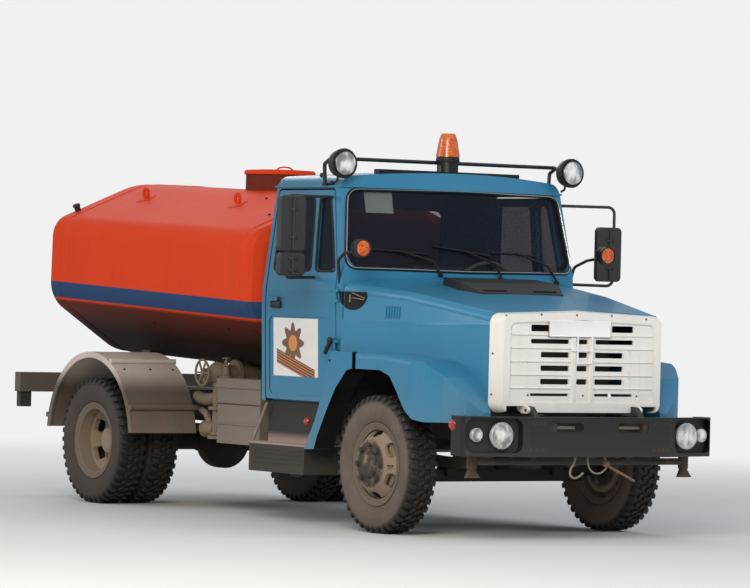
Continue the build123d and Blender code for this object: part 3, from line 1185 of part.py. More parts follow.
# Spray pipe under the bumper on two hangers from the rails, with a flat nozzle at each end.
spray = rod((SPRAY_X, -SPRAY_HALF, SPRAY_Z), (SPRAY_X, SPRAY_HALF, SPRAY_Z), SPRAY_R)
for side in (-1, 1):
    near, end = sorted((side * (RAIL_HALF - 52), side * (RAIL_HALF - 8)))
    spray += block(SPRAY_X - 20, SPRAY_X + 20, near, end, SPRAY_Z, rail_low)
    y = side * SPRAY_HALF
    spray += rod((SPRAY_X, y, SPRAY_Z - 50), (SPRAY_X, y, SPRAY_Z + 34), 36)
    root = Plane.XY.offset(SPRAY_Z - 50) * (Pos(SPRAY_X, y) * RectangleRounded(50, 50, 20))
    mouth = Plane.XY.offset(SPRAY_Z - 110) * (Pos(SPRAY_X + 12, y) * RectangleRounded(26, 130, 12))
    spray += loft([root, mouth], ruled=True)
save("spray_pipe", spray)
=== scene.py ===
import math
import bpy
import bmesh
from mathutils import Matrix, Vector


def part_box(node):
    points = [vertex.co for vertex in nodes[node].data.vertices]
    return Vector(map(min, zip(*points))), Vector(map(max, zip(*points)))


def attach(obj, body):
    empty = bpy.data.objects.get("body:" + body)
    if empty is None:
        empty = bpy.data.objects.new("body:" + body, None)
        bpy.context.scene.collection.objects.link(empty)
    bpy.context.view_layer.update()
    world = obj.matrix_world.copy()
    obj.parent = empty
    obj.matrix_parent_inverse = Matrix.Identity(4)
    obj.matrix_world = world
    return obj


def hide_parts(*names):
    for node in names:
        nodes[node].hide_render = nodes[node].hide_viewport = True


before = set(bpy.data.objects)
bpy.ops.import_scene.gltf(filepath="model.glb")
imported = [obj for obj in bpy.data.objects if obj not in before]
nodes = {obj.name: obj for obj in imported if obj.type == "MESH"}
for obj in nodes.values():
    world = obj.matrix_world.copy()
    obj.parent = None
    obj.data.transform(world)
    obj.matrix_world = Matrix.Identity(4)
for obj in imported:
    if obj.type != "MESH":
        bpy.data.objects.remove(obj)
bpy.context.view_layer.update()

# Camera: it stands far off to the truck's front right with a long lens, at the height of a person's eyes,
# and is rolled a little. Its place and turn are the photograph's own, worked out from the wheels and the
# cab.
FROM_FRONT_AXLE = 2050.0
PHOTO_WIDE, PHOTO_HIGH = 750, 588
LENS_MM, SENSOR_MM = 205.236, 36.0
PIXELS_DEEP = PHOTO_WIDE * LENS_MM / SENSOR_MM


def at(x, y, z):
    """A point of the truck in metres, from millimetres measured forwards of the front axle, left and up."""
    return Vector(((x + FROM_FRONT_AXLE) / 1000, y / 1000, z / 1000))


CAMERA_SPOT = at(24902.2, -17478.3, 1726.5)
AZIMUTH, ELEVATION, ROLL = math.radians(56.67), math.radians(0.11), math.radians(1.46)
flat = math.cos(ELEVATION)
backward = Vector((math.sin(AZIMUTH) * flat, -math.cos(AZIMUTH) * flat, math.sin(ELEVATION)))
level_right = (-backward).cross(Vector((0, 0, 1))).normalized()
level_up = level_right.cross(-backward)
camera_right = level_right * math.cos(ROLL) + level_up * math.sin(ROLL)
camera_up = level_up * math.cos(ROLL) - level_right * math.sin(ROLL)
lens = bpy.data.cameras.new("photo_camera")
lens.sensor_width = SENSOR_MM
lens.lens = LENS_MM
lens.clip_end = 400
camera = bpy.data.objects.new("photo_camera", lens)
bpy.context.scene.collection.objects.link(camera)
camera_turn = Matrix((camera_right, camera_up, backward)).transposed().to_4x4()
camera.matrix_world = Matrix.Translation(CAMERA_SPOT) @ camera_turn
bpy.context.scene.camera = camera
bpy.context.scene.view_settings.view_transform = "Standard"


# Studio: a wide pale floor, lit by four large soft lamps, one off each corner of the truck. Far off, the
# camera sees the floor run into the air's own white, so that no horizon shows.


class Wire:
    """One socket of a material's nodes. Sums, differences and products of wires add their own Math nodes."""

    def __init__(self, tree, socket=None):
        self.tree, self.socket = tree, socket

    def node(self, kind, output=0, inputs=(), **settings):
        """Any node: its kind, which output is wanted, wires or values for its sockets, and its settings."""
        made = self.tree.nodes.new("ShaderNode" + kind)
        for setting, value in settings.items():
            setattr(made, setting, value)
        for name, value in dict(inputs).items():
            if isinstance(value, Wire):
                self.tree.links.new(value.socket, made.inputs[name])
            else:
                made.inputs[name].default_value = value
        return Wire(self.tree, made.outputs[output])

    def math(self, operation, *values):
        return self.node("Math", inputs=enumerate(values), operation=operation)

    def __add__(self, other):
        return self.math("ADD", self, other)

    def __sub__(self, other):
        return self.math("SUBTRACT", self, other)

    def __rsub__(self, other):
        return self.math("SUBTRACT", other, self)

    def __mul__(self, other):
        return self.math("MULTIPLY", self, other)

    __radd__ = __add__
    __rmul__ = __mul__

    def above(self, low, high):
        """0 below low, 1 above high, smooth between; high below low turns it round."""
        return self.node("MapRange", inputs={0: self, 1: low, 2: high}, interpolation_type="SMOOTHSTEP")

    def over(self, under, upper):
        """The upper colour laid over the lower one, as thick as this wire says."""
        return self.node("Mix", 2, inputs={0: self, 6: under, 7: upper}, data_type="RGBA")


def hue(code):
    """A colour written as six hex digits, turned into the light values that shaders use."""
    parts = [int(code[i:i + 2], 16) / 255 for i in (0, 2, 4)]
    return tuple(p / 12.92 if p < 0.04045 else ((p + 0.055) / 1.055) ** 2.4 for p in parts) + (1.0,)


class Finish:
    """A material being mixed: its tree, its place on the truck, and patterns that wear and dirt follow."""

    def __init__(self, name):
        self.material = bpy.data.materials.new(name)
        self.material.use_nodes = True
        tree = self.material.node_tree
        self.shader = tree.nodes["Principled BSDF"]
        self.wire = Wire(tree)
        self.place = self.wire.node("TexCoord", "Object")
        self.x, self.y, self.z = (self.wire.node("SeparateXYZ", axis,
                                                 inputs={0: self.place}) for axis in "XYZ")
        normal = self.wire.node("NewGeometry", "Normal")
        self.ahead, self.across, self.upward = (self.wire.node("SeparateXYZ", axis,
                                                               inputs={0: normal}) for axis in "XYZ")

    def noise(self, scale, detail=3.0, stretch=(1, 1, 1), shift=0.0, rough=0.55):
        """Cloudy pattern of about 1/scale metres, stretched along the truck's axes."""
        moved = self.wire.node("Mapping", inputs={"Vector": self.place, "Scale": stretch,
                                                  "Location": (shift, shift, shift)})
        return self.wire.node("TexNoise", inputs={"Vector": moved, "Scale": scale, "Detail": detail,
                                                  "Roughness": rough})

    def band(self, along, low, high, soft=0.004):
        """1 between low and high metres along an axis, with a soft edge."""
        return along.above(low - soft, low + soft) * along.above(high + soft, high - soft)

    def towards(self, x, y, z):
        """1 on faces that look towards a place in metres, alike on both sides of the truck, 0 on others."""
        side = self.y.math("SIGN", self.y)
        sideways = (y - self.y.math("ABSOLUTE", self.y)) * side * self.across
        return ((x - self.x) * self.ahead + sideways + (z - self.z) * self.upward).above(0.0, 0.02)

    def reach(self, y, z, radius):
        """Distance from an axis that runs along the truck, on either side of it, in radii."""
        off_y, off_z = self.y.math("ABSOLUTE", self.y) - y, self.z - z
        return self.y.math("SQRT", off_y * off_y + off_z * off_z) * (1 / radius)

    def set(self, **values):
        """Sets sockets of the shader: a wire is joined on, a number or colour is written on the socket."""
        for name, value in values.items():
            socket = self.shader.inputs[name.replace("_", " ")]
            if isinstance(value, Wire):
                self.wire.tree.links.new(value.socket, socket)
            else:
                socket.default_value = value

    def bump(self, height, depth, strength=0.6):
        """Relief of the given depth in metres from a height wire."""
        relief = self.wire.node("Bump", inputs={"Strength": strength, "Distance": depth, "Height": height})
        self.set(Normal=relief)


AIR = (0.88, 0.88, 0.885, 1.0)
FLOOR_FADES = (4.5, 15.0)
NOTHING = (0, 0, 0, 1)


def studio_floor(colour):
    """Pale near the truck, which shades it; far off, the camera sees it run into the air's own white."""
    made = Finish("studio_floor")
    mottle = made.noise(0.4, 2)
    reach = made.wire.math("SQRT", made.x * made.x + made.y * made.y)
    far = reach.above(*FLOOR_FADES) * made.wire.node("LightPath", "Is Camera Ray")
    near = (mottle * 0.2).over(hue(colour), hue("E9E9E8"))
    made.set(Base_Color=far.over(near, NOTHING), Emission_Color=far.over(NOTHING, AIR), Emission_Strength=1.0)
    made.set(Roughness=0.85, Specular_IOR_Level=0.0)
    return made.material


bpy.ops.mesh.primitive_plane_add(size=160, location=(0, 0, 0))
floor = bpy.context.object
floor.name = "floor"
floor.data.materials.append(studio_floor("DEDEDD"))
world = bpy.data.worlds.new("studio_air")
bpy.context.scene.world = world
world.use_nodes = True
air = Wire(world.node_tree)
sight = air.node("LightPath", "Is Camera Ray")
mirror_sight = air.node("LightPath", "Is Glossy Ray")
through_sight = air.node("LightPath", "Is Transmission Ray")
seen = sight.math("MAXIMUM", sight, through_sight)
height = air.node("SeparateXYZ", "Z", inputs={0: air.node("TexCoord", "Generated")})
sky = height.above(-0.15, 0.6).over(hue("7C7F81"), hue("C6CBD0"))
reflected = mirror_sight.over(hue("A9ADB2"), sky)
shown = seen.over(reflected, AIR)
background = world.node_tree.nodes["Background"]
background.inputs["Strength"].default_value = 1.0
world.node_tree.links.new(shown.socket, background.inputs["Color"])
# Name, place in metres, width in metres, watts, tint.
LAMPS = [("key_lamp", (9.5, -8.2, 6.6), 5.0, 840.0, "FFF4E6"),
         ("fill_lamp", (9.0, 7.0, 6.0), 6.0, 300.0, "EAF1FF"),
         ("back_lamp", (-9.0, 3.0, 7.5), 5.0, 260.0, "FFFFFF"),
         ("side_lamp", (-5.5, -10.0, 5.0), 5.0, 240.0, "FFFFFF")]
AIMED_AT = Vector((0, 0, 1.2))
for name, spot, size, power, tint in LAMPS:
    lamp = bpy.data.lights.new(name, "AREA")
    lamp.size, lamp.energy, lamp.color = size, power, hue(tint)[:3]
    holder = bpy.data.objects.new(name, lamp)
    bpy.context.scene.collection.objects.link(holder)
    holder.location = spot
    holder.visible_glossy = name != "fill_lamp"
    holder.rotation_euler = (AIMED_AT - Vector(spot)).to_track_quat("-Z", "Y").to_euler()


# Frame: two pressed channel rails with crossmembers riveted between them, and cast axles slung below on
# leaf springs. It is steel in black enamel under road dust, which lies thickest behind the cab.
DUST = hue("9A8B78")
RUST = hue("5B3320")
SHADED, BLEACHED = 0.84, 1.22


def weathered(name, colour, gloss=0.4, dust=0.5, dust_top=1.3, chips=0.0, coat=0.0, metallic=0.0,
              shade=None, pitting=0.00025, dust_colour=DUST, streaks=0.25, lying=0.22, shine=0.5, cover=None):
    """Paint or plastic in service: faded in clouds, dusty low down and on top, streaked by rain, chipped."""
    made = Finish(name)
    clouds = made.noise(1.3, 4, shift=3.0)
    fine = made.noise(60.0, 4)
    runs = made.noise(9.0, 4, (1.6, 1.6, 0.16), shift=7.0)
    darker = tuple(c * SHADED for c in colour[:3]) + (1,)
    paler = tuple(min(1, c * BLEACHED) for c in colour[:3]) + (1,)
    base = (clouds * 0.5 + runs * streaks).over(darker, paler)
    if shade:
        base = shade(made, base)
    low_down = made.z.above(dust_top, 0.25)
    settled = made.upward.above(0.35, 1.0) * lying
    dirt = (low_down * (clouds * 0.9 + fine * 0.7) + settled * fine) * dust
    base = dirt.over(base, dust_colour)
    rough = dirt * 0.35 + (fine * 0.12 + gloss)
    if chips:
        spots = made.noise(34.0, 5, shift=11.0, rough=0.7).above(0.735 - chips, 0.765 - chips)
        base = spots.over(base, RUST)
        rough = rough + spots * 0.3
    if cover:
        base = cover(made, base)
    made.set(Base_Color=base, Roughness=rough, Metallic=metallic, Specular_IOR_Level=shine)
    made.set(Coat_Weight=coat, Coat_Roughness=0.12)
    made.bump(fine + dirt * 0.6, pitting)
    return made.material


def dress(material, *names):
    """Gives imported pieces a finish."""
    for name in names:
        for holder in nodes[name].material_slots:
            holder.material = material
        bpy.ops.object.select_all(action="DESELECT")


def rear_grime(made, base):
    """Pale dust that thickens from the cab to the rear beam."""
    return (made.x.above(-1.6, -2.6) * 0.42).over(base, hue("857A70"))


frame_paint = weathered("frame_enamel", hue("26231F"), gloss=0.55, dust=0.4, dust_top=1.5, chips=0.04,
                        dust_colour=hue("6A6055"), lying=0.4, shade=rear_grime)
dress(frame_paint, "frame_rail_left", "frame_rail_right", "frame_crossmembers", "rear_beam",
      "bumper_brackets", "tank_saddles")
# Near black: black enamel, darkened further as painted shade for the parts under the truck.
cast_iron = weathered("cast_iron", hue("151412"), gloss=0.6, dust=0.3, dust_top=1.3, chips=0.04,
                      pitting=0.0008, dust_colour=hue("4E453B"))
dress(cast_iron, "front_axle_beam", "knuckle_left", "knuckle_right", "tie_rod", "rear_axle", "engine",
      "propeller_shaft")
spring_steel = weathered("spring_steel", hue("3A332C"), gloss=0.55, dust=0.5, dust_top=1.3, chips=0.08,
                         dust_colour=hue("6A5E50"))
dress(spring_steel, "leaf_springs")
dress(weathered("radiator_core", hue("2C2C2B"), gloss=0.5, dust=0.5, dust_top=2.0, metallic=0.3), "radiator")

# Tyres: cross-ply rubber on split rims, with two rows of centre lugs and deep shoulder lugs that run down
# the wall. Each is moulded in one piece and runs dusty on its wall and dark on its tread.


def clear():
    """Back to object mode with nothing selected, so that the next operator acts on new work alone."""
    if bpy.context.object and bpy.context.object.mode != "OBJECT":
        bpy.ops.object.mode_set(mode="OBJECT")
    bpy.ops.object.select_all(action="DESELECT")


def choose(piece, test, kind="VERT"):
    """In edit mode, selects the corners or faces whose middle passes the test, and nothing else."""
    bpy.ops.mesh.select_mode(type=kind)
    bpy.ops.mesh.select_all(action="DESELECT")
    mesh = bmesh.from_edit_mesh(piece.data)
    for item in mesh.faces if kind == "FACE" else mesh.verts:
        item.select_set(bool(test(item.calc_center_median() if kind == "FACE" else item.co)))
    mesh.select_flush_mode()
    bmesh.update_edit_mesh(piece.data)


def close_up():
    """Merges seams and poles, then turns every face outwards."""
    bpy.ops.mesh.select_all(action="SELECT")
    bpy.ops.mesh.remove_doubles(threshold=0.00011)
    bpy.ops.mesh.normals_make_consistent(inside=False)
    bpy.ops.object.mode_set(mode="OBJECT")


# Ring that stands for a pole while it is drawn; it is merged to one point at the end.
POLE = 0.05


def turned(name, profile, sides=48):
    """Turns a shape about +Z: a circle drawn on through (height, radius) pairs in millimetres."""
    clear()
    level, radius = profile[0]
    radius = max(radius, POLE)
    bpy.ops.mesh.primitive_circle_add(vertices=sides, radius=radius / 1000, location=(0, 0, 0))
    piece = bpy.context.object
    piece.name = name
    bpy.ops.object.mode_set(mode="EDIT")
    bpy.ops.mesh.select_mode(type="VERT")
    bpy.ops.mesh.select_all(action="SELECT")
    bpy.ops.transform.translate(value=(0, 0, level / 1000))
    for next_level, next_radius in profile[1:]:
        next_radius = max(next_radius, POLE)
        rise = (0, 0, (next_level - level) / 1000)
        bpy.ops.mesh.extrude_region_move(TRANSFORM_OT_translate={"value": rise})
        growth = next_radius / radius
        bpy.ops.transform.resize(value=(growth, growth, 1), center_override=(0, 0, next_level / 1000))
        level, radius = next_level, next_radius
    close_up()
    return piece


def around(piece, count, radius=0.0):
    """Moves a shape out along X and copies it in a circle about Z, all one mesh."""
    clear()
    piece.select_set(True)
    bpy.context.view_layer.objects.active = piece
    bpy.ops.object.mode_set(mode="EDIT")
    bpy.ops.mesh.select_all(action="SELECT")
    turn = 2 * math.pi / count
    bpy.ops.transform.translate(value=(radius / 1000, 0, 0))
    bpy.ops.mesh.spin(steps=count - 1, dupli=True, angle=turn * (count - 1), center=(0, 0, 0), axis=(0, 0, 1))
    bpy.ops.object.mode_set(mode="OBJECT")
    return piece


def joined(name, *pieces):
    """Several shapes made one piece."""
    clear()
    for piece in pieces:
        piece.select_set(True)
    bpy.context.view_layer.objects.active = pieces[0]
    bpy.ops.object.join()
    pieces[0].name = name
    return pieces[0]


def copied(piece, name):
    """A second piece with its own mesh."""
    twin = piece.copy()
    twin.data = piece.data.copy()
    twin.name = name
    bpy.context.scene.collection.objects.link(twin)
    return twin


def laid(piece, spot, facing=(0, 0, 1)):
    """Turns a shape made about +Z to face a direction and carries it to its spot, settled in its mesh."""
    piece.rotation_euler = Vector(facing).to_track_quat("Z", "Y").to_euler()
    piece.location = spot
    settled(piece)
    return piece


def settled(piece):
    """Writes the place, turn and size of a piece into its mesh."""
    clear()
    piece.select_set(True)
    bpy.context.view_layer.objects.active = piece
    bpy.ops.object.transform_apply(location=True, rotation=True, scale=True)
    return piece


SMOOTH_BELOW = math.radians(32)


def mount(piece, body, slot, material, *replaced):
    """Fixes a finished piece to the truck: settled, smoothed, given its finish and the body it moves with."""
    settled(piece)
    bpy.ops.object.shade_smooth_by_angle(angle=SMOOTH_BELOW)
    piece.data.materials.clear()
    piece.data.materials.append(material)
    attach(piece, body)
    if replaced:
        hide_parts(*replaced)
    return piece


TREAD_R, LUGS = 466.0, 42
WHEELBASE, AXLE_HIGH = 3800.0, 482.0
# Distance from the tyre's middle and radius, from the bead out to the shoulder.
TYRE_WALL = [(72, 255), (82, 290), (90, 299), (94, 301), (103, 318), (112, 344), (118, 374), (117, 402),
             (113, 424), (107, 442), (98, 456)]
TYRE_WIDE = 236.0
SHOULDER_LUG = dict(inner=52, outer=98, low=448, high=481.0, thick=34, slant=10, drop=26)
CENTRE_LUG = dict(inner=4, outer=44, low=455, high=481.0, thick=30, slant=-14)


def tread_lug(inner, outer, low, high, thick, slant, drop=0.0):
    """One lug: a cube between two places across the tread, slanted, its outer end drawn down the shoulder."""
    clear()
    middle = ((low + high) / 2000, 0, (inner + outer) / 2000)
    bpy.ops.mesh.primitive_cube_add(size=0.001, location=middle, scale=(high - low, thick, outer - inner))
    lug = bpy.context.object
    settled(lug)
    bpy.ops.object.mode_set(mode="EDIT")
    choose(lug, lambda c: c.z > outer / 1000 - 0.0005)
    bpy.ops.transform.translate(value=(0, slant / 1000, 0))
    if drop:
        bpy.ops.mesh.extrude_region_move(TRANSFORM_OT_translate={"value": (-drop / 1000, 0, 0.014)})
        bpy.ops.transform.resize(value=(1, 0.8, 1))
    bpy.ops.mesh.select_all(action="SELECT")
    bpy.ops.mesh.bevel(offset=0.002, segments=1, affect="EDGES")
    bpy.ops.object.mode_set(mode="OBJECT")
    return lug


def make_tyre(name):
    """A carcass turned about its axle, with two rows of lugs on each half of its tread."""
    wall = [(-z, r) for z, r in TYRE_WALL]
    crown = [(-70, TREAD_R - 2), (0, TREAD_R), (70, TREAD_R - 2)]
    carcass = turned(name, wall + crown + TYRE_WALL[::-1] + [wall[0]], 96)
    half_pitch = math.pi / LUGS
    rows = []
    for side in (1, -1):
        shoulder = tread_lug(**SHOULDER_LUG)
        centre = tread_lug(**CENTRE_LUG)
        for row, start in ((shoulder, 0.0), (centre, half_pitch)):
            if side < 0:
                row.rotation_euler = (math.pi, 0, 0)
                settled(row)
            row.rotation_euler = (0, 0, start + (half_pitch if side < 0 else 0))
            settled(row)
            rows.append(around(row, LUGS))
    return joined(name, carcass, *rows)


def tyre_rubber(name, axle_x):
    """Black rubber, dusty on the wall and worn clean on the tread, moulded with fine rings; rear tyres get
    painted shade as less dust.
    """
    made = Finish(name)
    centre_x, centre_z = (axle_x + FROM_FRONT_AXLE) / 1000, AXLE_HIGH / 1000
    out_x, out_z = made.x - centre_x, made.z - centre_z
    radius = made.wire.math("SQRT", out_x * out_x + out_z * out_z)
    cloud = made.noise(7.0, 4)
    fine = made.noise(90.0, 4)
    wall_dust = radius.above(0.456, 0.416) * (cloud * 0.7 + 0.45)
    dust = made.wire.math("MAXIMUM", wall_dust, cloud * fine * 0.3)
    # Painted shade: the rear tyres are darker, drawn as thinner dust.
    rear_painted_shade = made.x.above(1.0, -1.0)
    under = (dust * (1 - rear_painted_shade * 0.6)).over(hue("131312"), hue("6E6157"))
    rings = made.wire.math("SINE", radius * 260.0) * 0.5
    made.set(Base_Color=under, Roughness=dust * 0.25 + 0.62)
    made.bump(fine + rings * 0.5, 0.0006)
    return made.material


first_tyre = make_tyre("tyre_pattern")
front_rubber = tyre_rubber("front_tyre_rubber", 0.0)
rear_rubber = tyre_rubber("rear_tyre_rubber", -WHEELBASE)
for side, way in (("left", 1), ("right", -1)):
    low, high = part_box("front_tyre_" + side)
    tyre = laid(copied(first_tyre, "front_tyre_tread_" + side), (low + high) / 2, (0, way, 0))
    mount(tyre, "front_wheel_" + side, "tyre", front_rubber, "front_tyre_" + side)
    low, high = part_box("rear_tyres_" + side)
    middle = (low + high) / 2
    reach = (high.y - low.y - TYRE_WIDE / 1000) / 2
    twins = [laid(copied(first_tyre, "rear_tyre"), middle + Vector((0, place * reach, 0)), (0, way, 0))
             for place in (1, -1)]
    mount(joined("rear_tyre_treads_" + side, *twins), "rear_wheels_" + side, "tyre", rear_rubber,
          "rear_tyres_" + side)
bpy.data.objects.remove(first_tyre)


# Wheels: pressed steel discs on split rims, in tan enamel under road dust, darker towards the rims. Each
# bolts to a cast hub whose bearing a pressed cap closes; the front hubs carry dark grease and painted shade.


def hub_grease_and_shade(made, base):
    """Dark grease and painted shade over the front hubs, and all the wheels darker towards the rims."""
    front = made.x.above(0.1, 0.2)
    off_x = made.x - (front * (WHEELBASE / 1000) - (WHEELBASE - FROM_FRONT_AXLE) / 1000)
    off_z = made.z - AXLE_HIGH / 1000
    reach = made.wire.math("SQRT", off_x * off_x + off_z * off_z)
    grime = made.noise(16.0, 4, shift=2.0)
    # Dark grease and painted shade over the front hubs; below, darker towards the rims.
    greasy_and_shaded = front * reach.above(0.185, 0.15) * grime.above(0.25, 0.5) * 0.85
    return greasy_and_shaded.over((reach.above(0.24, 0.252) * 0.55).over(base, hue("3B332E")), hue("241F1C"))


wheel_tan = weathered("wheel_enamel", hue("8C7865"), gloss=0.65, dust=0.5, dust_top=1.4, chips=0.07,
                      pitting=0.0004, streaks=0.5, cover=hub_grease_and_shade)
dress(wheel_tan, "front_wheel_left", "front_wheel_right", "rear_wheels_left", "rear_wheels_right")
bolt_steel = weathered("greasy_bolt_steel", hue("2C2722"), gloss=0.45, dust=0.3, dust_top=1.2, chips=0.08,
                       metallic=0.4)
cap_paint = weathered("hub_cap_enamel", hue("6B5F52"), gloss=0.5, dust=0.4, dust_top=1.2)


def bolt_head(name, across, high, washer=1.5):
    """Hexagon head on a washer, made about +Z."""
    washer_r, head_r, top_r = across * 0.85, across * 0.56, across * 0.46
    return turned(name, [(0, 0), (0, washer_r), (washer, washer_r), (washer, head_r), (high - 1, head_r),
                         (high, top_r), (high, 0)], 6)


CAP_PROFILE = [(0, 40), (6, 40), (8, 36), (20, 34), (25, 26), (26, 0)]
STEM_PROFILE = [(0, 0), (0, 4), (34, 4), (34, 5.5), (48, 5.5), (50, 0)]
HUB_BOLTS, HUB_BOLT_RING, HUB_SUNK = 8, 62, 0.026
for side, way in (("left", 1), ("right", -1)):
    low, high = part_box("front_wheel_" + side)
    hub_face = Vector(((low.x + high.x) / 2, (high if way > 0 else low).y, (low.z + high.z) / 2))
    cap = turned("hub_cap", CAP_PROFILE, 32)
    cap.location = (0, 0, -HUB_SUNK)
    mount(laid(settled(cap), hub_face, (0, way, 0)), "front_wheel_" + side, "wheel_tan", cap_paint)
    ring = around(bolt_head("hub_bolt", 13, 9), HUB_BOLTS, HUB_BOLT_RING)
    ring.location.z = -0.004
    settled(ring)
    stem = turned("valve_stem", STEM_PROFILE, 10)
    stem.location = (0.222, 0, -0.05)
    settled(stem)
    trim = joined("front_hub_trim_" + side, ring, stem)
    trim.location = (0, 0, -HUB_SUNK)
    settled(trim)
    mount(laid(trim, hub_face, (0, way, 0)), "front_wheel_" + side, "wheel_tan", bolt_steel)

# Cab: pressed steel panels welded to a hollow shell in blue enamel, lined with grey cloth and board, with
# black underseal in the wheel arches, deepened there as painted shade; the upper doors and the roof's top
# carry painted shade too. Its glass is toughened sheet, dark against the cab's inside.
CAB_INSIDE, ARCH_INSIDE, HOOD_INSIDE = (1.0, 0.0, 1.75), (2.15, 0.9, 0.8), (2.25, 0.0, 1.0)


def cab_linings_and_shade(made, base):
    """Lining inside, underseal deepened by painted shade in the arches, painted shade on upper doors and roof
    top.
    """
    lining = made.towards(*CAB_INSIDE) * made.x.above(1.63, 1.60)
    # Black underseal in the arches, deepened as painted shade.
    arch = made.towards(*ARCH_INSIDE) * made.z.above(1.28, 1.25) * made.x.above(1.25, 1.29)
    # Painted shade on the upper doors, then on the roof's top.
    faded_and_shaded = (made.x.above(1.5, 0.9) * made.z.above(1.35, 1.6) * 0.32).over(base, hue("2B454F"))
    roof = (made.z.above(2.46, 2.54) * made.upward.above(0.1, 0.7) * 0.5).over(faded_and_shaded, hue("2D4651"))
    return arch.over(lining.over(roof, hue("33312E")), hue("060606"))


def hood_inside_dirt_and_shade(made, base):
    """The hood's inner face, darkened by oil and road dirt and by painted shade."""
    return (made.towards(*HOOD_INSIDE) * 0.8).over(base, hue("141B1E"))


def glazed(name, tint, density):
    """Sheet glass with a thin film of dust; density is how much of what lies behind it hides."""
    made = Finish(name)
    film = made.noise(2.2, 4)
    made.set(Base_Color=film.over(hue(tint), hue("232B38")), Roughness=film * 0.05 + 0.03,
             Alpha=film * 0.1 + density)
    made.set(Specular_IOR_Level=0.22)
    return made.material


ENAMEL = dict(gloss=0.34, dust=0.36, dust_top=1.25, chips=0.01, coat=0.18, pitting=0.00012, streaks=0.25,
              lying=0.1)
cab_paint = weathered("cab_enamel", hue("2A7CA2"), cover=cab_linings_and_shade, **ENAMEL)
dress(cab_paint, "cab_floor", "cab_front", "cab_rear_wall", "cab_roof", "door_left", "door_right",
      "front_fenders")
dress(weathered("hood_enamel", hue("2A7CA2"), cover=hood_inside_dirt_and_shade, **ENAMEL), "hood")
dress(glazed("windscreen_glass", "111C2C", density=0.3), "cab_windows")
dress(glazed("door_glass", "10151D", density=0.66), "door_glass_left", "door_glass_right")

# Seals: moulded black rubber round every pane, with grooves that grip the sheet's edge and the glass. The
# windscreen's has a bright bead pressed into it to spread it.
rubber = weathered("seal_rubber", hue("121213"), gloss=0.6, dust=0.2)
bright_metal = weathered("bright_bead", hue("C6CACC"), gloss=0.18, dust=0.1, metallic=1.0)
black_plastic = weathered("black_plastic", hue("1B1C1D"), gloss=0.45, dust=0.25)


def touched(start, heading, *names):
    """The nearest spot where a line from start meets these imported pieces, and which way its face looks."""
    heading = Vector(heading).normalized()
    hits = [nodes[name].ray_cast(start, heading) for name in names]
    found = [(spot, face) for hit, spot, face, number in hits if hit]
    if not found:
        raise ValueError(f"nothing of {names} lies along {heading} from {start}")
    return min(found, key=lambda pair: (pair[0] - Vector(start)).length)


CORNER_STEPS, RUN_STEPS = 5, 8


def rounded(corners, radius):
    """A closed outline in millimetres with its corners rounded and its long runs divided."""
    line = []
    count = len(corners)
    for index, corner in enumerate(corners):
        corner = Vector(corner)
        before, after = Vector(corners[index - 1]) - corner, Vector(corners[(index + 1) % count]) - corner
        start, stop = corner + before.normalized() * radius, corner + after.normalized() * radius
        for step in range(CORNER_STEPS + 1):
            part = step / CORNER_STEPS
            line.append(start * (1 - part) ** 2 + corner * 2 * part * (1 - part) + stop * part ** 2)
        ahead = Vector(corners[(index + 1) % count]) - after.normalized() * radius
        for step in range(1, RUN_STEPS):
            line.append(stop.lerp(ahead, step / RUN_STEPS))
    return line


def grown(line, width):
    """The same outline, moved outwards by a width."""
    middle = sum(line, Vector((0, 0))) / len(line)
    return [point + (point - middle).normalized() * width for point in line]


def tube(name, points, radius, closed=False, sides=2, smooth=False):
    """A round bar or bead bent along points in metres."""
    clear()
    path = bpy.data.curves.new(name, "CURVE")
    path.dimensions = "3D"
    path.bevel_depth, path.bevel_resolution, path.use_fill_caps = radius / 1000, sides, not closed
    run = path.splines.new("NURBS" if smooth else "POLY")
    run.points.add(len(points) - 1)
    for bead, point in zip(run.points, points):
        bead.co = (*point, 1)
    run.use_cyclic_u = closed
    if smooth:
        run.order_u, run.use_endpoint_u = 3, True
    piece = bpy.data.objects.new(name, path)
    bpy.context.scene.collection.objects.link(piece)
    piece.select_set(True)
    bpy.context.view_layer.objects.active = piece
    bpy.ops.object.convert(target="MESH")
    piece = bpy.context.object
    bpy.ops.object.mode_set(mode="EDIT")
    close_up()
    return piece


CAB_MIDDLE, OUTSIDE = -1000, 2500


def front_seal(name, line, node, radius, lift, way=1):
    """A bead round an outline of (y, z) places, lying on a face that looks forwards or backwards."""
    points = []
    for y, z in line:
        spot, face = touched(at(CAB_MIDDLE + way * 3000, y, z), (-way, 0, 0), node)
        points.append(spot + face * lift / 1000)
    return tube(name, points, radius, True)


def side_seal(name, line, node, radius, lift, way):
    """A bead round an outline of (x, z) places, lying on the truck's left (way 1) or right (way -1) side."""
    points = []
    for x, z in line:
        spot, face = touched(at(x, way * OUTSIDE, z), (0, -way, 0), node)
        points.append(spot + face * lift / 1000)
    return tube(name, points, radius, True)


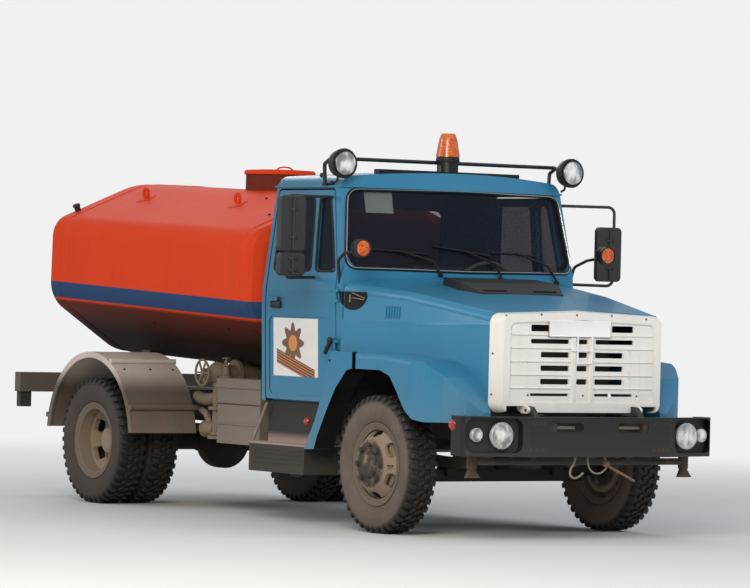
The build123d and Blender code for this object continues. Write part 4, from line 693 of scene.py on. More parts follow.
SCREEN = rounded([(-976, 1852), (976, 1852), (906, 2410), (-906, 2410)], 92)
REAR_WINDOW = rounded([(-520, 1880), (520, 1880), (500, 2300), (-500, 2300)], 70)
mount(front_seal("windscreen_seal", grown(SCREEN, 12), "cab_front", 15, -4), "chassis", "trim_black", rubber)
mount(front_seal("windscreen_bead", grown(SCREEN, 10), "cab_front", 4.5, 9), "chassis", "trim_black",
      bright_metal)
mount(front_seal("rear_window_seal", grown(REAR_WINDOW, 10), "cab_rear_wall", 12, -3, -1), "chassis",
      "trim_black", rubber)
MAIN_WINDOW = rounded([(-1002, 1828), (-1014, 2345), (-1440, 2345), (-1494, 1828)], 40)
QUARTER_WINDOW = rounded([(-680, 1828), (-806, 2345), (-946, 2345), (-934, 1828)], 34)
for side, way in (("left", 1), ("right", -1)):
    for label, line in (("window", MAIN_WINDOW), ("quarter_light", QUARTER_WINDOW)):
        seal = side_seal(f"{label}_seal_{side}", grown(line, 7), "door_" + side, 9, -2, way)
        mount(seal, "door_" + side, "trim_black", rubber)

# Roof ribs and windscreen card: the roof sheet is pressed with shallow ribs that run along the truck, and a
# blank pale card is stuck inside the windscreen's upper right corner.
RIB_SPACING, RIB_SUNK, RIB_STOPS, OVERHEAD = 145, 0.012, (-1530, -1300, -1100, -900), 3500
CARD_LOW, CARD_HIGH = (367, 212), (393, 192)
CARD_BEHIND, CARD_DROPPED = 0.014, 0.004


def gaze(px, py):
    """The way the camera looks through a pixel of the photograph."""
    return camera_right * (px - PHOTO_WIDE / 2) - camera_up * (py - PHOTO_HIGH / 2) - backward * PIXELS_DEEP


def sighted(px, py, *names):
    """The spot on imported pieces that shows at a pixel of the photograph, and which way its face looks."""
    return touched(camera.matrix_world.translation, gaze(px, py), *names)


def modified(piece, kind, **settings):
    """Adds a modifier and applies it at once."""
    clear()
    piece.select_set(True)
    bpy.context.view_layer.objects.active = piece
    maker = piece.modifiers.new(kind.lower(), kind)
    for setting, value in settings.items():
        setattr(maker, setting, value)
    bpy.ops.object.modifier_apply(modifier=maker.name)
    return piece


ribs = []
for place in range(-3, 4):
    tops = [touched(at(x, place * RIB_SPACING, OVERHEAD), (0, 0, -1), "cab_roof")[0] for x in RIB_STOPS]
    line = [top - Vector((0, 0, RIB_SUNK)) for top in tops]
    ribs.append(tube("roof_rib", line, 20, sides=3))
mount(joined("roof_ribs", *ribs), "chassis", "cab_blue", cab_paint)
card_spot, card_end = (sighted(*corner, "cab_windows")[0] for corner in (CARD_LOW, CARD_HIGH))
clear()
bpy.ops.mesh.primitive_grid_add(x_subdivisions=6, y_subdivisions=6, size=1, rotation=(0, math.pi / 2, 0),
                                location=(card_spot + card_end) / 2)
card = bpy.context.object
card.scale = (card_end.z - card_spot.z, card_end.y - card_spot.y, 1)
settled(card)
modified(card, "SHRINKWRAP", target=nodes["cab_windows"], wrap_method="PROJECT", use_project_x=True,
         use_negative_direction=True, use_positive_direction=True, offset=0.0)
card.location = (-CARD_BEHIND, 0, -CARD_DROPPED)
card.name = "windscreen_card"
settled(card)
modified(card, "SOLIDIFY", thickness=0.001)
mount(card, "chassis", "grille_white", weathered("card_paper", hue("DDE8E4"), gloss=0.7, dust=0.1))

# Wipers: three arms of bent steel in black enamel, each on a cast boss in the cowl and sprung to the glass,
# with a rubber blade in a bowed carrier at its end.
BLADE_LIFT, BOW_LIFT = 0.016, 0.004
# Pixels of the photograph at each blade's tip and heel and its arm's pivot.
WIPERS = [((371, 250), (426, 254.6), (440, 275)),
          ((431.5, 247), (490, 257), (500, 279)),
          ((490, 253), (538, 257), (555.5, 283))]
wiper_black = weathered("wiper_enamel", hue("111112"), gloss=0.4, dust=0.15)
for count, (tip, heel, pivot) in enumerate(WIPERS):
    ends = [sighted(*end, "cab_windows") for end in (tip, heel)]
    tip_spot, heel_spot = (spot + face * BLADE_LIFT for spot, face in ends)
    outward = ends[0][1]
    base, face = sighted(*pivot, "cab_front")
    middle = tip_spot.lerp(heel_spot, 0.5)
    blade = tube("blade", [tip_spot, middle - outward * BOW_LIFT, heel_spot], 6)
    bow = [tip_spot.lerp(middle, 0.3) + face * BOW_LIFT, middle + outward * 0.016,
           heel_spot.lerp(middle, 0.3) + face * BOW_LIFT]
    carrier = tube("carrier", bow, 6.5)
    bends = [middle + outward * 0.018, heel_spot.lerp(base, 0.35) + face * 0.022, base + face * 0.024]
    arm = tube("arm", bends, 8)
    boss = laid(turned("boss", [(-4, 0), (-4, 19), (12, 17), (26, 13), (32, 9), (33, 0)], 20), base, face)
    mount(joined(f"wiper_{count + 1}", blade, carrier, arm, boss), "chassis", "trim_black", wiper_black)

# Door sign: a thin white sheet stuck to the right door, printed with a plain rosette and a striped band. It
# follows the door's skin and has gone a little grey with dust.
SIGN_X, SIGN_Z, SIGN_WIDE, SIGN_HIGH = -1189.0, 1268.0, 600.0, 420.0
PETALS, STRIPES = 8.0, 92.0


def sign_print():
    """The sign's print, drawn in half widths of the sheet from its middle."""
    made = Finish("door_sign")
    half = SIGN_WIDE / 2000
    across = (made.x - (SIGN_X + FROM_FRONT_AXLE) / 1000) * (1 / half)
    rise = (made.z - SIGN_Z / 1000) * (1 / half)
    off_x, off_z = across + 0.12, rise - 0.1
    reach = made.wire.math("SQRT", off_x * off_x + off_z * off_z)
    turn = made.wire.math("ARCTAN2", off_z, off_x)
    rays = made.wire.math("COSINE", turn * PETALS)
    rosette = (reach - rays * 0.09).above(0.42, 0.40)
    heart = reach.above(0.2, 0.19)
    slope = rise + across * 0.28
    band = made.band(slope, -0.62, -0.28, 0.01)
    stripes = made.wire.math("SINE", slope * STRIPES).above(-0.1, 0.1)
    paper = rosette.over(hue("EDEDEA"), hue("6A3A22"))
    paper = heart.over(paper, hue("D98A3A"))
    striped = stripes.over(hue("1B1A1A"), hue("C8742C"))
    paper = (band * made.band(across, -0.85, 0.85, 0.01)).over(paper, striped)
    grime = made.noise(5.0, 4)
    made.set(Base_Color=(grime * 0.3).over(paper, DUST), Roughness=grime * 0.2 + 0.3, Coat_Weight=0.2)
    made.bump(grime, 0.0002)
    return made.material


clear()
bpy.ops.mesh.primitive_grid_add(x_subdivisions=24, y_subdivisions=16, size=1,
                                location=at(SIGN_X, -1200, SIGN_Z), rotation=(math.pi / 2, 0, 0))
sign = bpy.context.object
sign.scale = (SIGN_WIDE / 1000, SIGN_HIGH / 1000, 1)
sign.name = "door_sign"
settled(sign)
modified(sign, "SHRINKWRAP", target=nodes["door_right"], wrap_method="PROJECT", use_project_y=True,
         use_negative_direction=True, use_positive_direction=True, offset=0.0012)
modified(sign, "SOLIDIFY", thickness=0.001, offset=1)
mount(sign, "door_right", "trim_black", sign_print())

# Door handles: a moulded black cup below the rear end of each door's window, with a flap to pull inside it.
# Cup and flap are one plastic, and the cup is clipped into a hole in the door's skin.


def block(name, low, high, edge=0.0, segments=2):
    """A cube drawn out between two corners (millimetres from the front axle), with its edges rounded."""
    clear()
    a, b = at(*low), at(*high)
    bpy.ops.mesh.primitive_cube_add(size=1, location=(a + b) / 2, scale=[abs(q - p) for p, q in zip(a, b)])
    piece = bpy.context.object
    piece.name = name
    settled(piece)
    if edge:
        modified(piece, "BEVEL", width=edge / 1000, segments=segments, limit_method="ANGLE")
    return piece


for side, way in (("left", 1), ("right", -1)):
    cup = block("door_handle_" + side, (-1500, -22, 1548), (-1372, 22, 1600), 10, 3)
    bpy.ops.object.mode_set(mode="EDIT")
    choose(cup, lambda c: c.y < -0.0215, "FACE")
    bpy.ops.mesh.inset(thickness=0.008, depth=-0.008)
    bpy.ops.object.mode_set(mode="OBJECT")
    flap = block("flap", (-1488, -20, 1564), (-1384, -14, 1594), 4)
    handle = joined("door_handle_" + side, cup, flap)
    spot = touched(at(-1436, way * OUTSIDE, 1574), (0, -way, 0), "door_" + side)[0]
    handle.location.y = spot.y if way < 0 else -spot.y
    settled(handle)
    if way > 0:
        handle.scale.y = -1
        settled(handle)
        bpy.ops.object.mode_set(mode="EDIT")
        close_up()
    mount(handle, "door_" + side, "trim_black", black_plastic)

# Hood locks: a dark recess in each cowl side, half in the cab and half in the hood, holds the hood's hook
# and its bar. The recess is pressed sheet, drawn near black on the panel as painted shade, and the hook bent
# rod; below it a rubber knob is screwed to the door's front edge.
LOCK_X, LOCK_Z, LOCK_HALF, LOCK_DEEP, LOCK_TOP, LOCK_SEAM = -460.0, 1662.0, 138.0, 110.0, 1681.0, -552.0
SEAM_HALF, RIM_CUTS = 7, 14
# Ends of the hook's two rods, in x and z.
HOOK_RODS = (((-463, 1674), (-340, 1636)), ((-463, 1638), (-350, 1626)))
KNOB_PROFILE = [(-24, 0), (-24, 16), (4, 16), (8, 27), (22, 27), (28, 18), (30, 0)]
KNOB_OUT = 1.03
COWL_BOLTS = ((-573, 1340), (-560, 1262), (-551, 1190))
# The recess's sheet is near black: painted shade for the hollow behind it.
lock_recess_shade = weathered("lock_recess", hue("050505"), gloss=0.7, dust=0.15)
lock_steel = weathered("lock_steel", hue("83766C"), gloss=0.45, dust=0.3, chips=0.08)


def lock_recess(name, way, node, seam_side):
    """A thin sheet cut from an ellipse by its flat top and the hood's seam, pressed onto the panel."""
    clear()
    bpy.ops.mesh.primitive_grid_add(x_subdivisions=24, y_subdivisions=16, size=2, location=(0, 0, 0))
    sheet = bpy.context.object
    bpy.ops.object.mode_set(mode="EDIT")
    for step in range(RIM_CUTS):
        turn = math.pi * (1 + (step - 0.5) / (RIM_CUTS - 2))
        outward = Vector((math.cos(turn), math.sin(turn), 0))
        bpy.ops.mesh.select_all(action="SELECT")
        bpy.ops.mesh.bisect(plane_co=outward, plane_no=outward, clear_outer=True)
    bpy.ops.object.mode_set(mode="OBJECT")
    sheet.rotation_euler = (math.pi / 2, 0, 0)
    sheet.scale = (LOCK_HALF / 1000, LOCK_DEEP / 1000, 1)
    sheet.location = at(LOCK_X, way * 1300, LOCK_Z)
    settled(sheet)
    bpy.ops.object.mode_set(mode="EDIT")
    bpy.ops.mesh.select_all(action="SELECT")
    bpy.ops.mesh.bisect(plane_co=at(0, 0, LOCK_TOP), plane_no=(0, 0, 1), clear_outer=True)
    bpy.ops.mesh.select_all(action="SELECT")
    bpy.ops.mesh.bisect(plane_co=at(LOCK_SEAM + seam_side * SEAM_HALF, 0, 0), plane_no=(-seam_side, 0, 0),
                        clear_outer=True)
    bpy.ops.object.mode_set(mode="OBJECT")
    modified(sheet, "SHRINKWRAP", target=nodes[node], wrap_method="PROJECT", use_project_y=True,
             use_negative_direction=True, use_positive_direction=True, offset=0.0012)
    modified(sheet, "SOLIDIFY", thickness=0.0012, offset=1)
    sheet.name = name
    return sheet


for side, way in (("left", 1), ("right", -1)):
    mount(lock_recess("lock_recess_cab_" + side, way, "cab_front", -1), "chassis", "trim_black", lock_recess_shade)
    mount(lock_recess("lock_recess_hood_" + side, way, "hood", 1), "hood", "trim_black", lock_recess_shade)
    bars = []
    for rod in HOOK_RODS:
        ends = [touched(at(x, way * OUTSIDE, z), (0, -way, 0), "hood") for x, z in rod]
        bars.append(tube("lock_hook", [spot + face * 0.008 for spot, face in ends], 4))
    ends = [touched(at(-487, way * OUTSIDE, z), (0, -way, 0), "hood") for z in (1606, 1660)]
    bars.append(tube("lock_bar", [spot + face * 0.007 for spot, face in ends], 7))
    mount(joined("hood_lock_" + side, *bars), "hood", "trim_black", lock_steel)
    knob_spot, face = touched(at(-660, way * OUTSIDE, 1328), (0, -way, 0), "door_" + side)
    knob_spot = Vector((knob_spot.x, way * max(abs(knob_spot.y), KNOB_OUT), knob_spot.z))
    knob = laid(turned("knob", KNOB_PROFILE, 24), knob_spot, face)
    tail_run = [knob_spot + Vector(step) for step in ((0.01, way * 0.02, -0.01), (-0.02, way * 0.025, -0.06),
                                                      (-0.04, way * 0.025, -0.09))]
    tail = tube("knob_tail", tail_run, 16, sides=3)
    mount(joined("door_knob_" + side, knob, tail), "door_" + side, "trim_black", black_plastic)
    bolts = []
    for x, z in COWL_BOLTS:
        spot, face = touched(at(x, way * OUTSIDE, z), (0, -way, 0), "cab_front")
        bolts.append(laid(bolt_head("bolt", 12, 8), spot, face))
    mount(joined("cowl_bolts_" + side, *bolts), "chassis", "trim_black", bolt_steel)

# Hood: six pressed louvres let heat out on each side, and a moulded black scoop stands in the middle of the
# top. The louvres belong to the hood's own sheet; the scoop's moulded slits are near-black bars, painted
# shade.
LOUVRE_LOW, LOUVRE_TOP, LOUVRE_LIFT = 1500, 1588, 0.005
# Near-black bars on the scoop stand for its slits: painted shade.
slit_shade = weathered("slit_painted_shade", hue("0B0B0C"), gloss=0.8, dust=0.1)
dress(black_plastic, "hood_scoop")
for side, way in (("left", 1), ("right", -1)):
    louvres = []
    for x in range(-131, 5, 26):
        foot, face = touched(at(x, way * OUTSIDE, LOUVRE_LOW), (0, -way, 0), "hood")
        top = touched(at(x, way * OUTSIDE, LOUVRE_TOP), (0, -way, 0), "hood")[0]
        rise = face * LOUVRE_LIFT
        line = [foot, foot.lerp(top, 0.12) + rise, foot.lerp(top, 0.88) + rise, top]
        louvres.append(tube("louvre", line, 4))
    mount(joined("hood_louvres_" + side, *louvres), "hood", "cab_blue", cab_paint)
slits = []
for y in (-215, 215):
    ends = [touched(at(400, y + reach, 1712), (-1, 0, 0), "hood_scoop", "hood")[0] for reach in (-100, 100)]
    ends = [spot + Vector((0.001, 0, 0)) for spot in ends]
    slits.append(tube("slit", ends, 8, sides=1))
mount(joined("scoop_slits", *slits), "hood", "trim_black", slit_shade)

# Grille: white pressed pan held by screws, with a blank number plate on two straps and a pale stay below it.
# The pan is one sheet, pressed and punched; the plate is thin sheet with a turned edge.
grille_paint = weathered("grille_enamel", hue("E9E7E2"), gloss=0.4, dust=0.14, dust_top=1.4, chips=0.012,
                         coat=0.1, streaks=0.3)
dress(grille_paint, "grille")
plate_white = weathered("plate_white", hue("FFFFFF"), gloss=0.3, dust=0.0)
PLATE_Y, PLATE_Z, PLATE_WIDE, PLATE_HIGH = -31.0, 1464.0, 524.0, 112.0
STRAP_APART, STRAP_HALF = 150, 14
# Ends of the stay's rods, as y and z, then y and z.
STAY_RODS = ((-50, 1410, -50, 1226), (72, 1410, 72, 1226), (-50, 1226, 72, 1226), (-104, 1313, 126, 1313))
# Pixels of the photograph at the pan's screws, and at the tops of its upright beads.
SCREWS = ((506.4, 315.5), (541.7, 314.6), (577, 315.2), (611.8, 316), (646.2, 319.4),
          (492.6, 353.4), (491.2, 394.4), (527.6, 395), (582.8, 395.8), (636.3, 396.2))
BEADS = ((526.5, 339), (539.5, 350), (630.0, 350), (639.3, 339))
BEAD_FOOT, BEAD_STEPS = 392, 8
plate_spot = touched(at(1500, PLATE_Y, 1440), (-1, 0, 0), "grille")[0]
plate_x = plate_spot.x * 1000 - FROM_FRONT_AXLE
left, right = PLATE_Y - PLATE_WIDE / 2, PLATE_Y + PLATE_WIDE / 2
foot, top = PLATE_Z - PLATE_HIGH / 2, PLATE_Z + PLATE_HIGH / 2
plate = block("plate", (plate_x + 10, left, foot), (plate_x + 13, right, top))
bpy.ops.object.mode_set(mode="EDIT")
choose(plate, lambda c: c.x > (plate_x + 12.9 + FROM_FRONT_AXLE) / 1000, "FACE")
bpy.ops.mesh.inset(thickness=0.006, depth=0.0015)
bpy.ops.mesh.inset(thickness=0.002, depth=-0.0012)
bpy.ops.object.mode_set(mode="OBJECT")
mount(plate, "hood", "grille_white", plate_white)
rim = block("plate_rim", (plate_x + 7, left - 5, foot - 6), (plate_x + 10.5, right + 5, top + 5), 1)
mount(rim, "hood", "box_grey", weathered("plate_rim", hue("77756F"), gloss=0.5, dust=0.2))
straps = []
for y in (PLATE_Y - STRAP_APART, PLATE_Y + STRAP_APART):
    straps.append(block("strap", (plate_x - 4, y - STRAP_HALF, PLATE_Z - 62),
                        (plate_x + 10, y + STRAP_HALF, PLATE_Z + 40), 2))
stay_x = plate_x + 16
for y0, z0, y1, z1 in STAY_RODS:
    straps.append(tube("stay", [at(stay_x, y0, z0), at(stay_x, y1, z1)], 6, sides=1))
mount(joined("plate_stay", *straps), "hood", "trim_black", plate_white)
screws, beads = [], []
for px, py in SCREWS:
    spot, face = sighted(px, py, "grille")
    screws.append(laid(turned("screw", [(-1, 0), (-1, 8), (1.5, 8), (4, 5), (5, 0)], 12), spot, face))
for px, top in BEADS:
    stops = [top + (BEAD_FOOT - top) * step / BEAD_STEPS for step in range(BEAD_STEPS + 1)]
    line = [sighted(px, py, "grille") for py in stops]
    beads.append(tube("bead", [spot - face * 0.001 for spot, face in line], 4))
mount(joined("grille_screws", *screws), "hood", "trim_black",
      weathered("screw_steel", hue("55534E"), gloss=0.5, dust=0.3))
mount(joined("grille_beads", *beads), "hood", "grille_white", grille_paint)

# Bumper: one pressed steel beam in black enamel, held to its brackets by flush bolts in fours. Pale bars of
# the frame's end show through its slots.
FLUSH_BOLT = [(-4, 0), (-4, 13), (0.25, 13), (0.3, 8), (0.45, 7), (0.45, 0)]
# Pixels of the photograph: the first and last bolt of a four, and the height that they share.
BOLT_ROWS = ((533.5, 545.0, 423.6), (525.0, 543.0, 450.0), (655.0, 668.0, 424.2), (654.0, 667.5, 450.2))
SLOT_BAR_Y = (-287, 276)


def bumper_end_shade(made, base):
    """Painted shade: darker on the ends and on faces that don't look forwards."""
    ends = made.y.math("ABSOLUTE", made.y).above(1.02, 1.05)
    outer = made.wire.math("MAXIMUM", made.ahead.above(0.9, 0.2), ends)
    return (outer * 0.8).over(base, hue("0A0A0B"))


dress(weathered("bumper_enamel", hue("1C1C1C"), gloss=0.4, dust=0.22, dust_top=1.0, chips=0.03,
                dust_colour=hue("7A6F62"), lying=0.5, cover=bumper_end_shade), "front_bumper")
bolts = []
for first, last, drop in BOLT_ROWS:
    for share in (0, 1 / 3, 2 / 3, 1):
        spot = sighted(first + (last - first) * share, drop, "front_bumper")[0]
        bolts.append(laid(turned("bumper_bolt", FLUSH_BOLT, 12), spot, (1, 0, 0)))
mount(joined("bumper_bolts", *bolts), "chassis", "bumper_black", bolt_steel)
bars = [block("slot_bar", (1130, y - 100, 777), (1150, y + 100, 797), 3) for y in SLOT_BAR_Y]
mount(joined("slot_bars", *bars), "chassis", "box_grey",
      weathered("slot_bar_paint", hue("A39C90"), gloss=0.5, dust=0.5))

# Lamps: silvered bowls behind pressed glass with fine flutes, in bright rims, sunk in the bumper; the small
# round ones are parking lamps. Each lamp is bought complete and held by screws.
HEADLAMP, PARKING_LAMP = (0.787, 0.730, 0.092), (0.958, 0.733, 0.048)
MARKER_PROFILE = [(-12, 0), (-12, 36), (4, 36), (6, 33), (14, 26), (18, 12), (18, 0)]
REFLECTOR_PIXEL = (307.3, 421.8)


def glass_face(made, base, reach):
    """A lamp's front by distance from its middle in radii: painted reflections of the silvered bowl,
    brightest at the middle and striped by the glass's flutes, then the rim.
    """
    bowl_reflections = made.noise(15.0, 3, (1, 1, 0.6)).above(0.36, 0.64)
    flutes = made.wire.math("SINE", made.y * 1400.0) * 0.12
    bowl = (bowl_reflections * 0.75 + reach.above(0.6, 0.1) * 0.35 + flutes).over(hue("6E7376"), hue("F6F7F6"))
    return reach.above(0.90, 0.87).over(base, bowl)


def bumper_lamp_faces(made, base):
    """The two sizes of lamp in the bumper, by their places in y and z and their radii in metres."""
    nearest = made.wire.math("MINIMUM", made.reach(*HEADLAMP), made.reach(*PARKING_LAMP))
    return glass_face(made, base, nearest)


dress(weathered("bumper_lamps", hue("B4B7B8"), gloss=0.08, dust=0.12, coat=1.0, pitting=0.00005,
                shade=bumper_lamp_faces), "front_lamps")


def lens_profile(radius, bulge):
    """A domed lens on a short rim."""
    dome = [(1 + bulge * (1 - share ** 2), radius * share) for share in (0.97, 0.8, 0.55, 0.3, 0.0)]
    return [(-2, 0), (-2, radius), (1, radius)] + dome


def coloured_lens(name, tint, dark):
    """Pressed plastic, clear in places and dark in others, ribbed to spread the light."""
    made = Finish(name)
    cells = made.noise(70.0, 3)
    ribs = made.wire.math("SINE", (made.z + made.y) * 1300.0) * 0.5
    made.set(Base_Color=cells.above(0.3, 0.7).over(hue(dark), hue(tint)), Roughness=cells * 0.1 + 0.1,
             Coat_Weight=0.8)
    made.bump(ribs, 0.0006)
    return made.material


amber_lens = coloured_lens("amber_lens", "F07A1E", "B03A12")
red_lens = coloured_lens("red_lens", "C03222", "6E1610")
domes = []
for way in (-1, 1):
    spot = touched(at(945, way * 2000, 796), (0, -way, 0), "front_bumper")[0]
    domes.append(laid(turned("marker", MARKER_PROFILE, 24), spot, (0.25, way, 0)))
spot = sighted(*REFLECTOR_PIXEL, "cab_steps", "cab_front", "door_right")[0]
for way in (-1, 1):
    twin_spot = Vector((spot.x, -way * spot.y, spot.z))
    domes.append(laid(turned("side_reflector", lens_profile(34, 26), 24), twin_spot, (0.55, way, 0)))
mount(joined("side_markers", *domes), "chassis", "amber_lens", red_lens)

# Turn signals: amber pressed lenses front and back, screwed to black moulded cups on bent tube stalks that
# stand out from the windscreen's pillars.
SIGNAL_X, SIGNAL_Y, SIGNAL_Z = -245, 1066, 1988
CUP_PROFILE = [(-14, 62), (-14, 67), (3, 67), (5, 62), (3, 56), (-14, 62)]
dress(black_plastic, "signal_lamps")
domes, cups = [], []
for way in (-1, 1):
    for heading in (1, -1):
        start = at(SIGNAL_X + heading * 900, way * SIGNAL_Y, SIGNAL_Z)
        spot = touched(start, (-heading, 0, 0), "signal_lamps")[0]
        seat = spot - Vector((heading * 0.001, 0, 0))
        domes.append(laid(turned("dome", lens_profile(55, 9), 32), seat, (heading, 0, 0)))
        cups.append(laid(turned("cup", CUP_PROFILE, 32), spot, (heading, 0, 0)))
mount(joined("amber_domes", *domes), "chassis", "amber_lens", amber_lens)
mount(joined("signal_cups", *cups), "chassis", "trim_black", black_plastic)

# Roof rack: black bent tube on four clamped feet, with two round work lamps in deep black bowls, and the
# beacon, a ribbed amber cover on a black ring. Lamps and beacon are bought complete and bolted to the tube.
BEACON_X = -760
ROOF_LAMP_Y, ROOF_LAMP_Z = 996, 2590
RING_PROFILE = [(2636, 60), (2636, 84), (2642, 87), (2668, 85), (2674, 78), (2674, 64), (2636, 60)]
COVER_PROFILE = [(2674, 60), (2674, 86), (2690, 85), (2740, 77), (2790, 68), (2810, 62.6), (2810, 60)]
BOWL_PROFILE = [(-100, 52), (-96, 70), (-60, 96), (-20, 106), (6, 108), (14, 104), (14, 92), (2, 90),
                (-18, 88), (-60, 70), (-90, 50), (-100, 52)]
FOOT_PROFILE = [(-10, 0), (-10, 17), (20, 17), (28, 11), (30, 0)]
FOOT_PIXELS = ((323.5, 176.0), (333.0, 184.0))


def rack_faces(made, base):
    """Glass with painted reflections on the two lamps, and amber over the beacon's dome, striped with painted
    light and shade for its ribs.
    """
    lamp = made.reach(ROOF_LAMP_Y / 1000, ROOF_LAMP_Z / 1000, 0.094)
    lamps = glass_face(made, base, made.wire.math("MAXIMUM", lamp, made.x.above(1.466, 1.46)))
    off = made.x - (FROM_FRONT_AXLE + BEACON_X) / 1000
    beacon = made.wire.math("SQRT", off * off + made.y * made.y).above(0.11, 0.10) * made.z.above(2.676, 2.68)
    # Painted light and shade in stripes round the dome, for its ribs.
    ribs = made.wire.math("SINE", made.wire.math("ARCTAN2", off, made.y) * 28.0).above(-1.2, 1.2)
    return beacon.over(lamps, ribs.over(hue("A9380F"), hue("F28A36")))


dress(weathered("rack_enamel", hue("161617"), gloss=0.3, dust=0.15, shade=rack_faces, coat=0.3), "roof_lamps")
fittings = [laid(turned("beacon_ring", RING_PROFILE, 40), at(BEACON_X, 0, 0))]
mount(laid(turned("beacon_cover", COVER_PROFILE, 40), at(BEACON_X, 0, 0)), "chassis", "amber_lens",
      amber_lens)
for way in (-1, 1):
    spot = touched(at(400, way * ROOF_LAMP_Y, ROOF_LAMP_Z), (-1, 0, 0), "roof_lamps")[0]
    front = spot + Vector((-0.036, 0, 0))
    fittings.append(laid(turned("lamp_bowl", BOWL_PROFILE, 40), front, (1, 0, 0)))
    bracket = [front + Vector(step) for step in ((-0.07, 0, -0.07), (-0.08, 0, -0.12), (-0.12, 0, -0.135))]
    fittings.append(tube("lamp_bracket", bracket, 9))
    for px, py in FOOT_PIXELS:
        spot = sighted(px, py, "cab_roof", "cab_front", "door_right")[0]
        spot.y = abs(spot.y) * way
        fittings.append(laid(turned("clamp_foot", FOOT_PROFILE, 16), spot, (0, way, 0.5)))
mount(joined("rack_fittings", *fittings), "chassis", "trim_black", black_plastic)

# Tank: welded steel barrel in orange enamel with a blue stripe, lying a little nose down on its saddles,
# with two rolled head seams, four lifting eyes, pipe plugs and a small black lamp at its rear end.
TANK_TILT = math.radians(1.9)
NECK_X, TANK_MIDDLE_Z = -3050, 1740
SEAM_X, SEAM_STEPS = (-1900.0, -4600.0), 96
EYE_X, EYE_Y = (-4128, -2751), (-560, 560)
EYE_PROFILE = [(-8, 20), (-8, 46), (8, 46), (8, 20), (-8, 20)]
EYE_FOOT = [(-6, 0), (-6, 80), (3, 80), (6, 72), (6, 0)]
PLUG_PIXELS = ((153.9, 323.3), (228.7, 328.9), (266.4, 198.8), (269.3, 214.9))
END_LAMP = [(-10, 0), (-10, 24), (30, 24), (36, 30), (52, 30), (58, 22), (60, 0)]


def tank_stripe_and_shade(made, base):
    """A blue stripe along the barrel, dust and painted shade on its underside, and painted shade on the neck
    under the lid.
    """
    level = made.z + (made.x + 1.15) * 0.039
    striped = made.band(level, 1.517, 1.643, 0.003).over(base, hue("2A456B"))
    off = made.x - (NECK_X + FROM_FRONT_AXLE) / 1000
    # Painted shade on the neck under the lid.
    neck_shade_ring = made.wire.math("SQRT", off * off + made.y * made.y).above(0.27, 0.266)
    neck = neck_shade_ring * made.z.above(2.42, 2.44) * made.z.above(2.585, 2.575)
    # Painted shade, deepening down the barrel's underside.
    underside = level.above(1.46, 1.25).over(hue("5E2414"), hue("1E0C08"))
    shaded = level.above(1.514, 1.486).over(striped, underside)
    return neck.over(shaded, hue("6A2C1C"))


tank_paint = weathered("tank_enamel", hue("D6401A"), gloss=0.62, dust=0.2, dust_top=1.5, chips=0.012,
                       streaks=0.4, shade=tank_stripe_and_shade, lying=0.0, shine=0.15)
dress(tank_paint, "water_tank", "tank_lid")
for count, x in enumerate(SEAM_X):
    seam = []
    for step in range(SEAM_STEPS):
        turn = 2 * math.pi * step / SEAM_STEPS
        way = Vector((math.sin(turn) * math.sin(TANK_TILT), math.cos(turn),
                      math.sin(turn) * math.cos(TANK_TILT)))
        spot = touched(at(x, 0, TANK_MIDDLE_Z) + way * 2.2, -way, "water_tank")[0]
        seam.append(spot - way * 0.002)
    mount(tube(f"tank_seam_{count}", seam, 7, True, 1), "chassis", "tank_orange", tank_paint)
eyes = []
for x in EYE_X:
    for y in EYE_Y:
        spot, face = touched(at(x, y, OVERHEAD), (0, 0, -1), "water_tank")
        eyes.append(laid(turned("eye", EYE_PROFILE, 24), spot + Vector((0, 0, 0.042)), (0, 1, 0)))
        eyes.append(laid(turned("eye_foot", EYE_FOOT, 24), spot, face))
mount(joined("lifting_eyes", *eyes), "chassis", "tank_orange", tank_paint)
plugs = []
for px, py in PLUG_PIXELS:
    spot, face = sighted(px, py, "water_tank")
    plugs.append(laid(bolt_head("tank_plug", 17, 12, 4), spot, face))
mount(joined("tank_plugs", *plugs), "chassis", "tank_orange", bolt_steel)
spot, face = touched(at(-4690, -850, OVERHEAD), (0, 0, -1), "water_tank")
lamp = laid(turned("tank_end_lamp", END_LAMP, 20), spot, face)
mount(lamp, "chassis", "trim_black", black_plastic)

# Tank lid: a pressed steel plate with a raised rib near its edge and a bent grab handle welded on. It is
# painted with the tank and turns on a hinge at the manhole's neck.
LID_RIB = [(-2, 150), (-2, 170), (3, 167), (5, 160), (3, 153), (-2, 150)]
# The grab's bends, as y and height over the lid in metres.
LID_GRAB = ((-0.07, -0.002), (-0.068, 0.026), (0.068, 0.026), (0.07, -0.002))
lid_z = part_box("tank_lid")[1].z
neck = at(NECK_X, 0, 0)
rib = turned("lid_rib", LID_RIB, 48)
rib.location = (neck.x, 0, lid_z)
grab = tube("lid_grab", [(neck.x + 0.07, y, lid_z + z) for y, z in LID_GRAB], 6, smooth=True, sides=3)
mount(joined("lid_trim", rib, grab), "tank_lid", "tank_orange", tank_paint)

# Inside the cab: a moulded black dashboard with two round gauges behind a cowl, and a thin-rimmed steering
# wheel. The dashboard is pressed board under soft sheet; the gauges are bought in and held by clamps.
dress(black_plastic, "dashboard")
dress(weathered("wheel_rim_plastic", hue("8F877C"), gloss=0.4, dust=0.1), "steering_wheel")
gauge_face = weathered("gauge_face", hue("20262A"), gloss=0.15, dust=0.05, coat=0.8)
GAUGE_PROFILE = [(-4, 0), (-4, 52), (5, 52), (8, 48), (5, 43), (3, 42), (3, 0)]
gauges = []
for y in (340, 500):
    spot, face = touched(at(-1300, y, 1560), (1, 0, 0.02), "dashboard")
    gauges.append(laid(turned("gauge", GAUGE_PROFILE, 32), spot, face))
mount(joined("gauges", *gauges), "chassis", "trim_black", gauge_face)

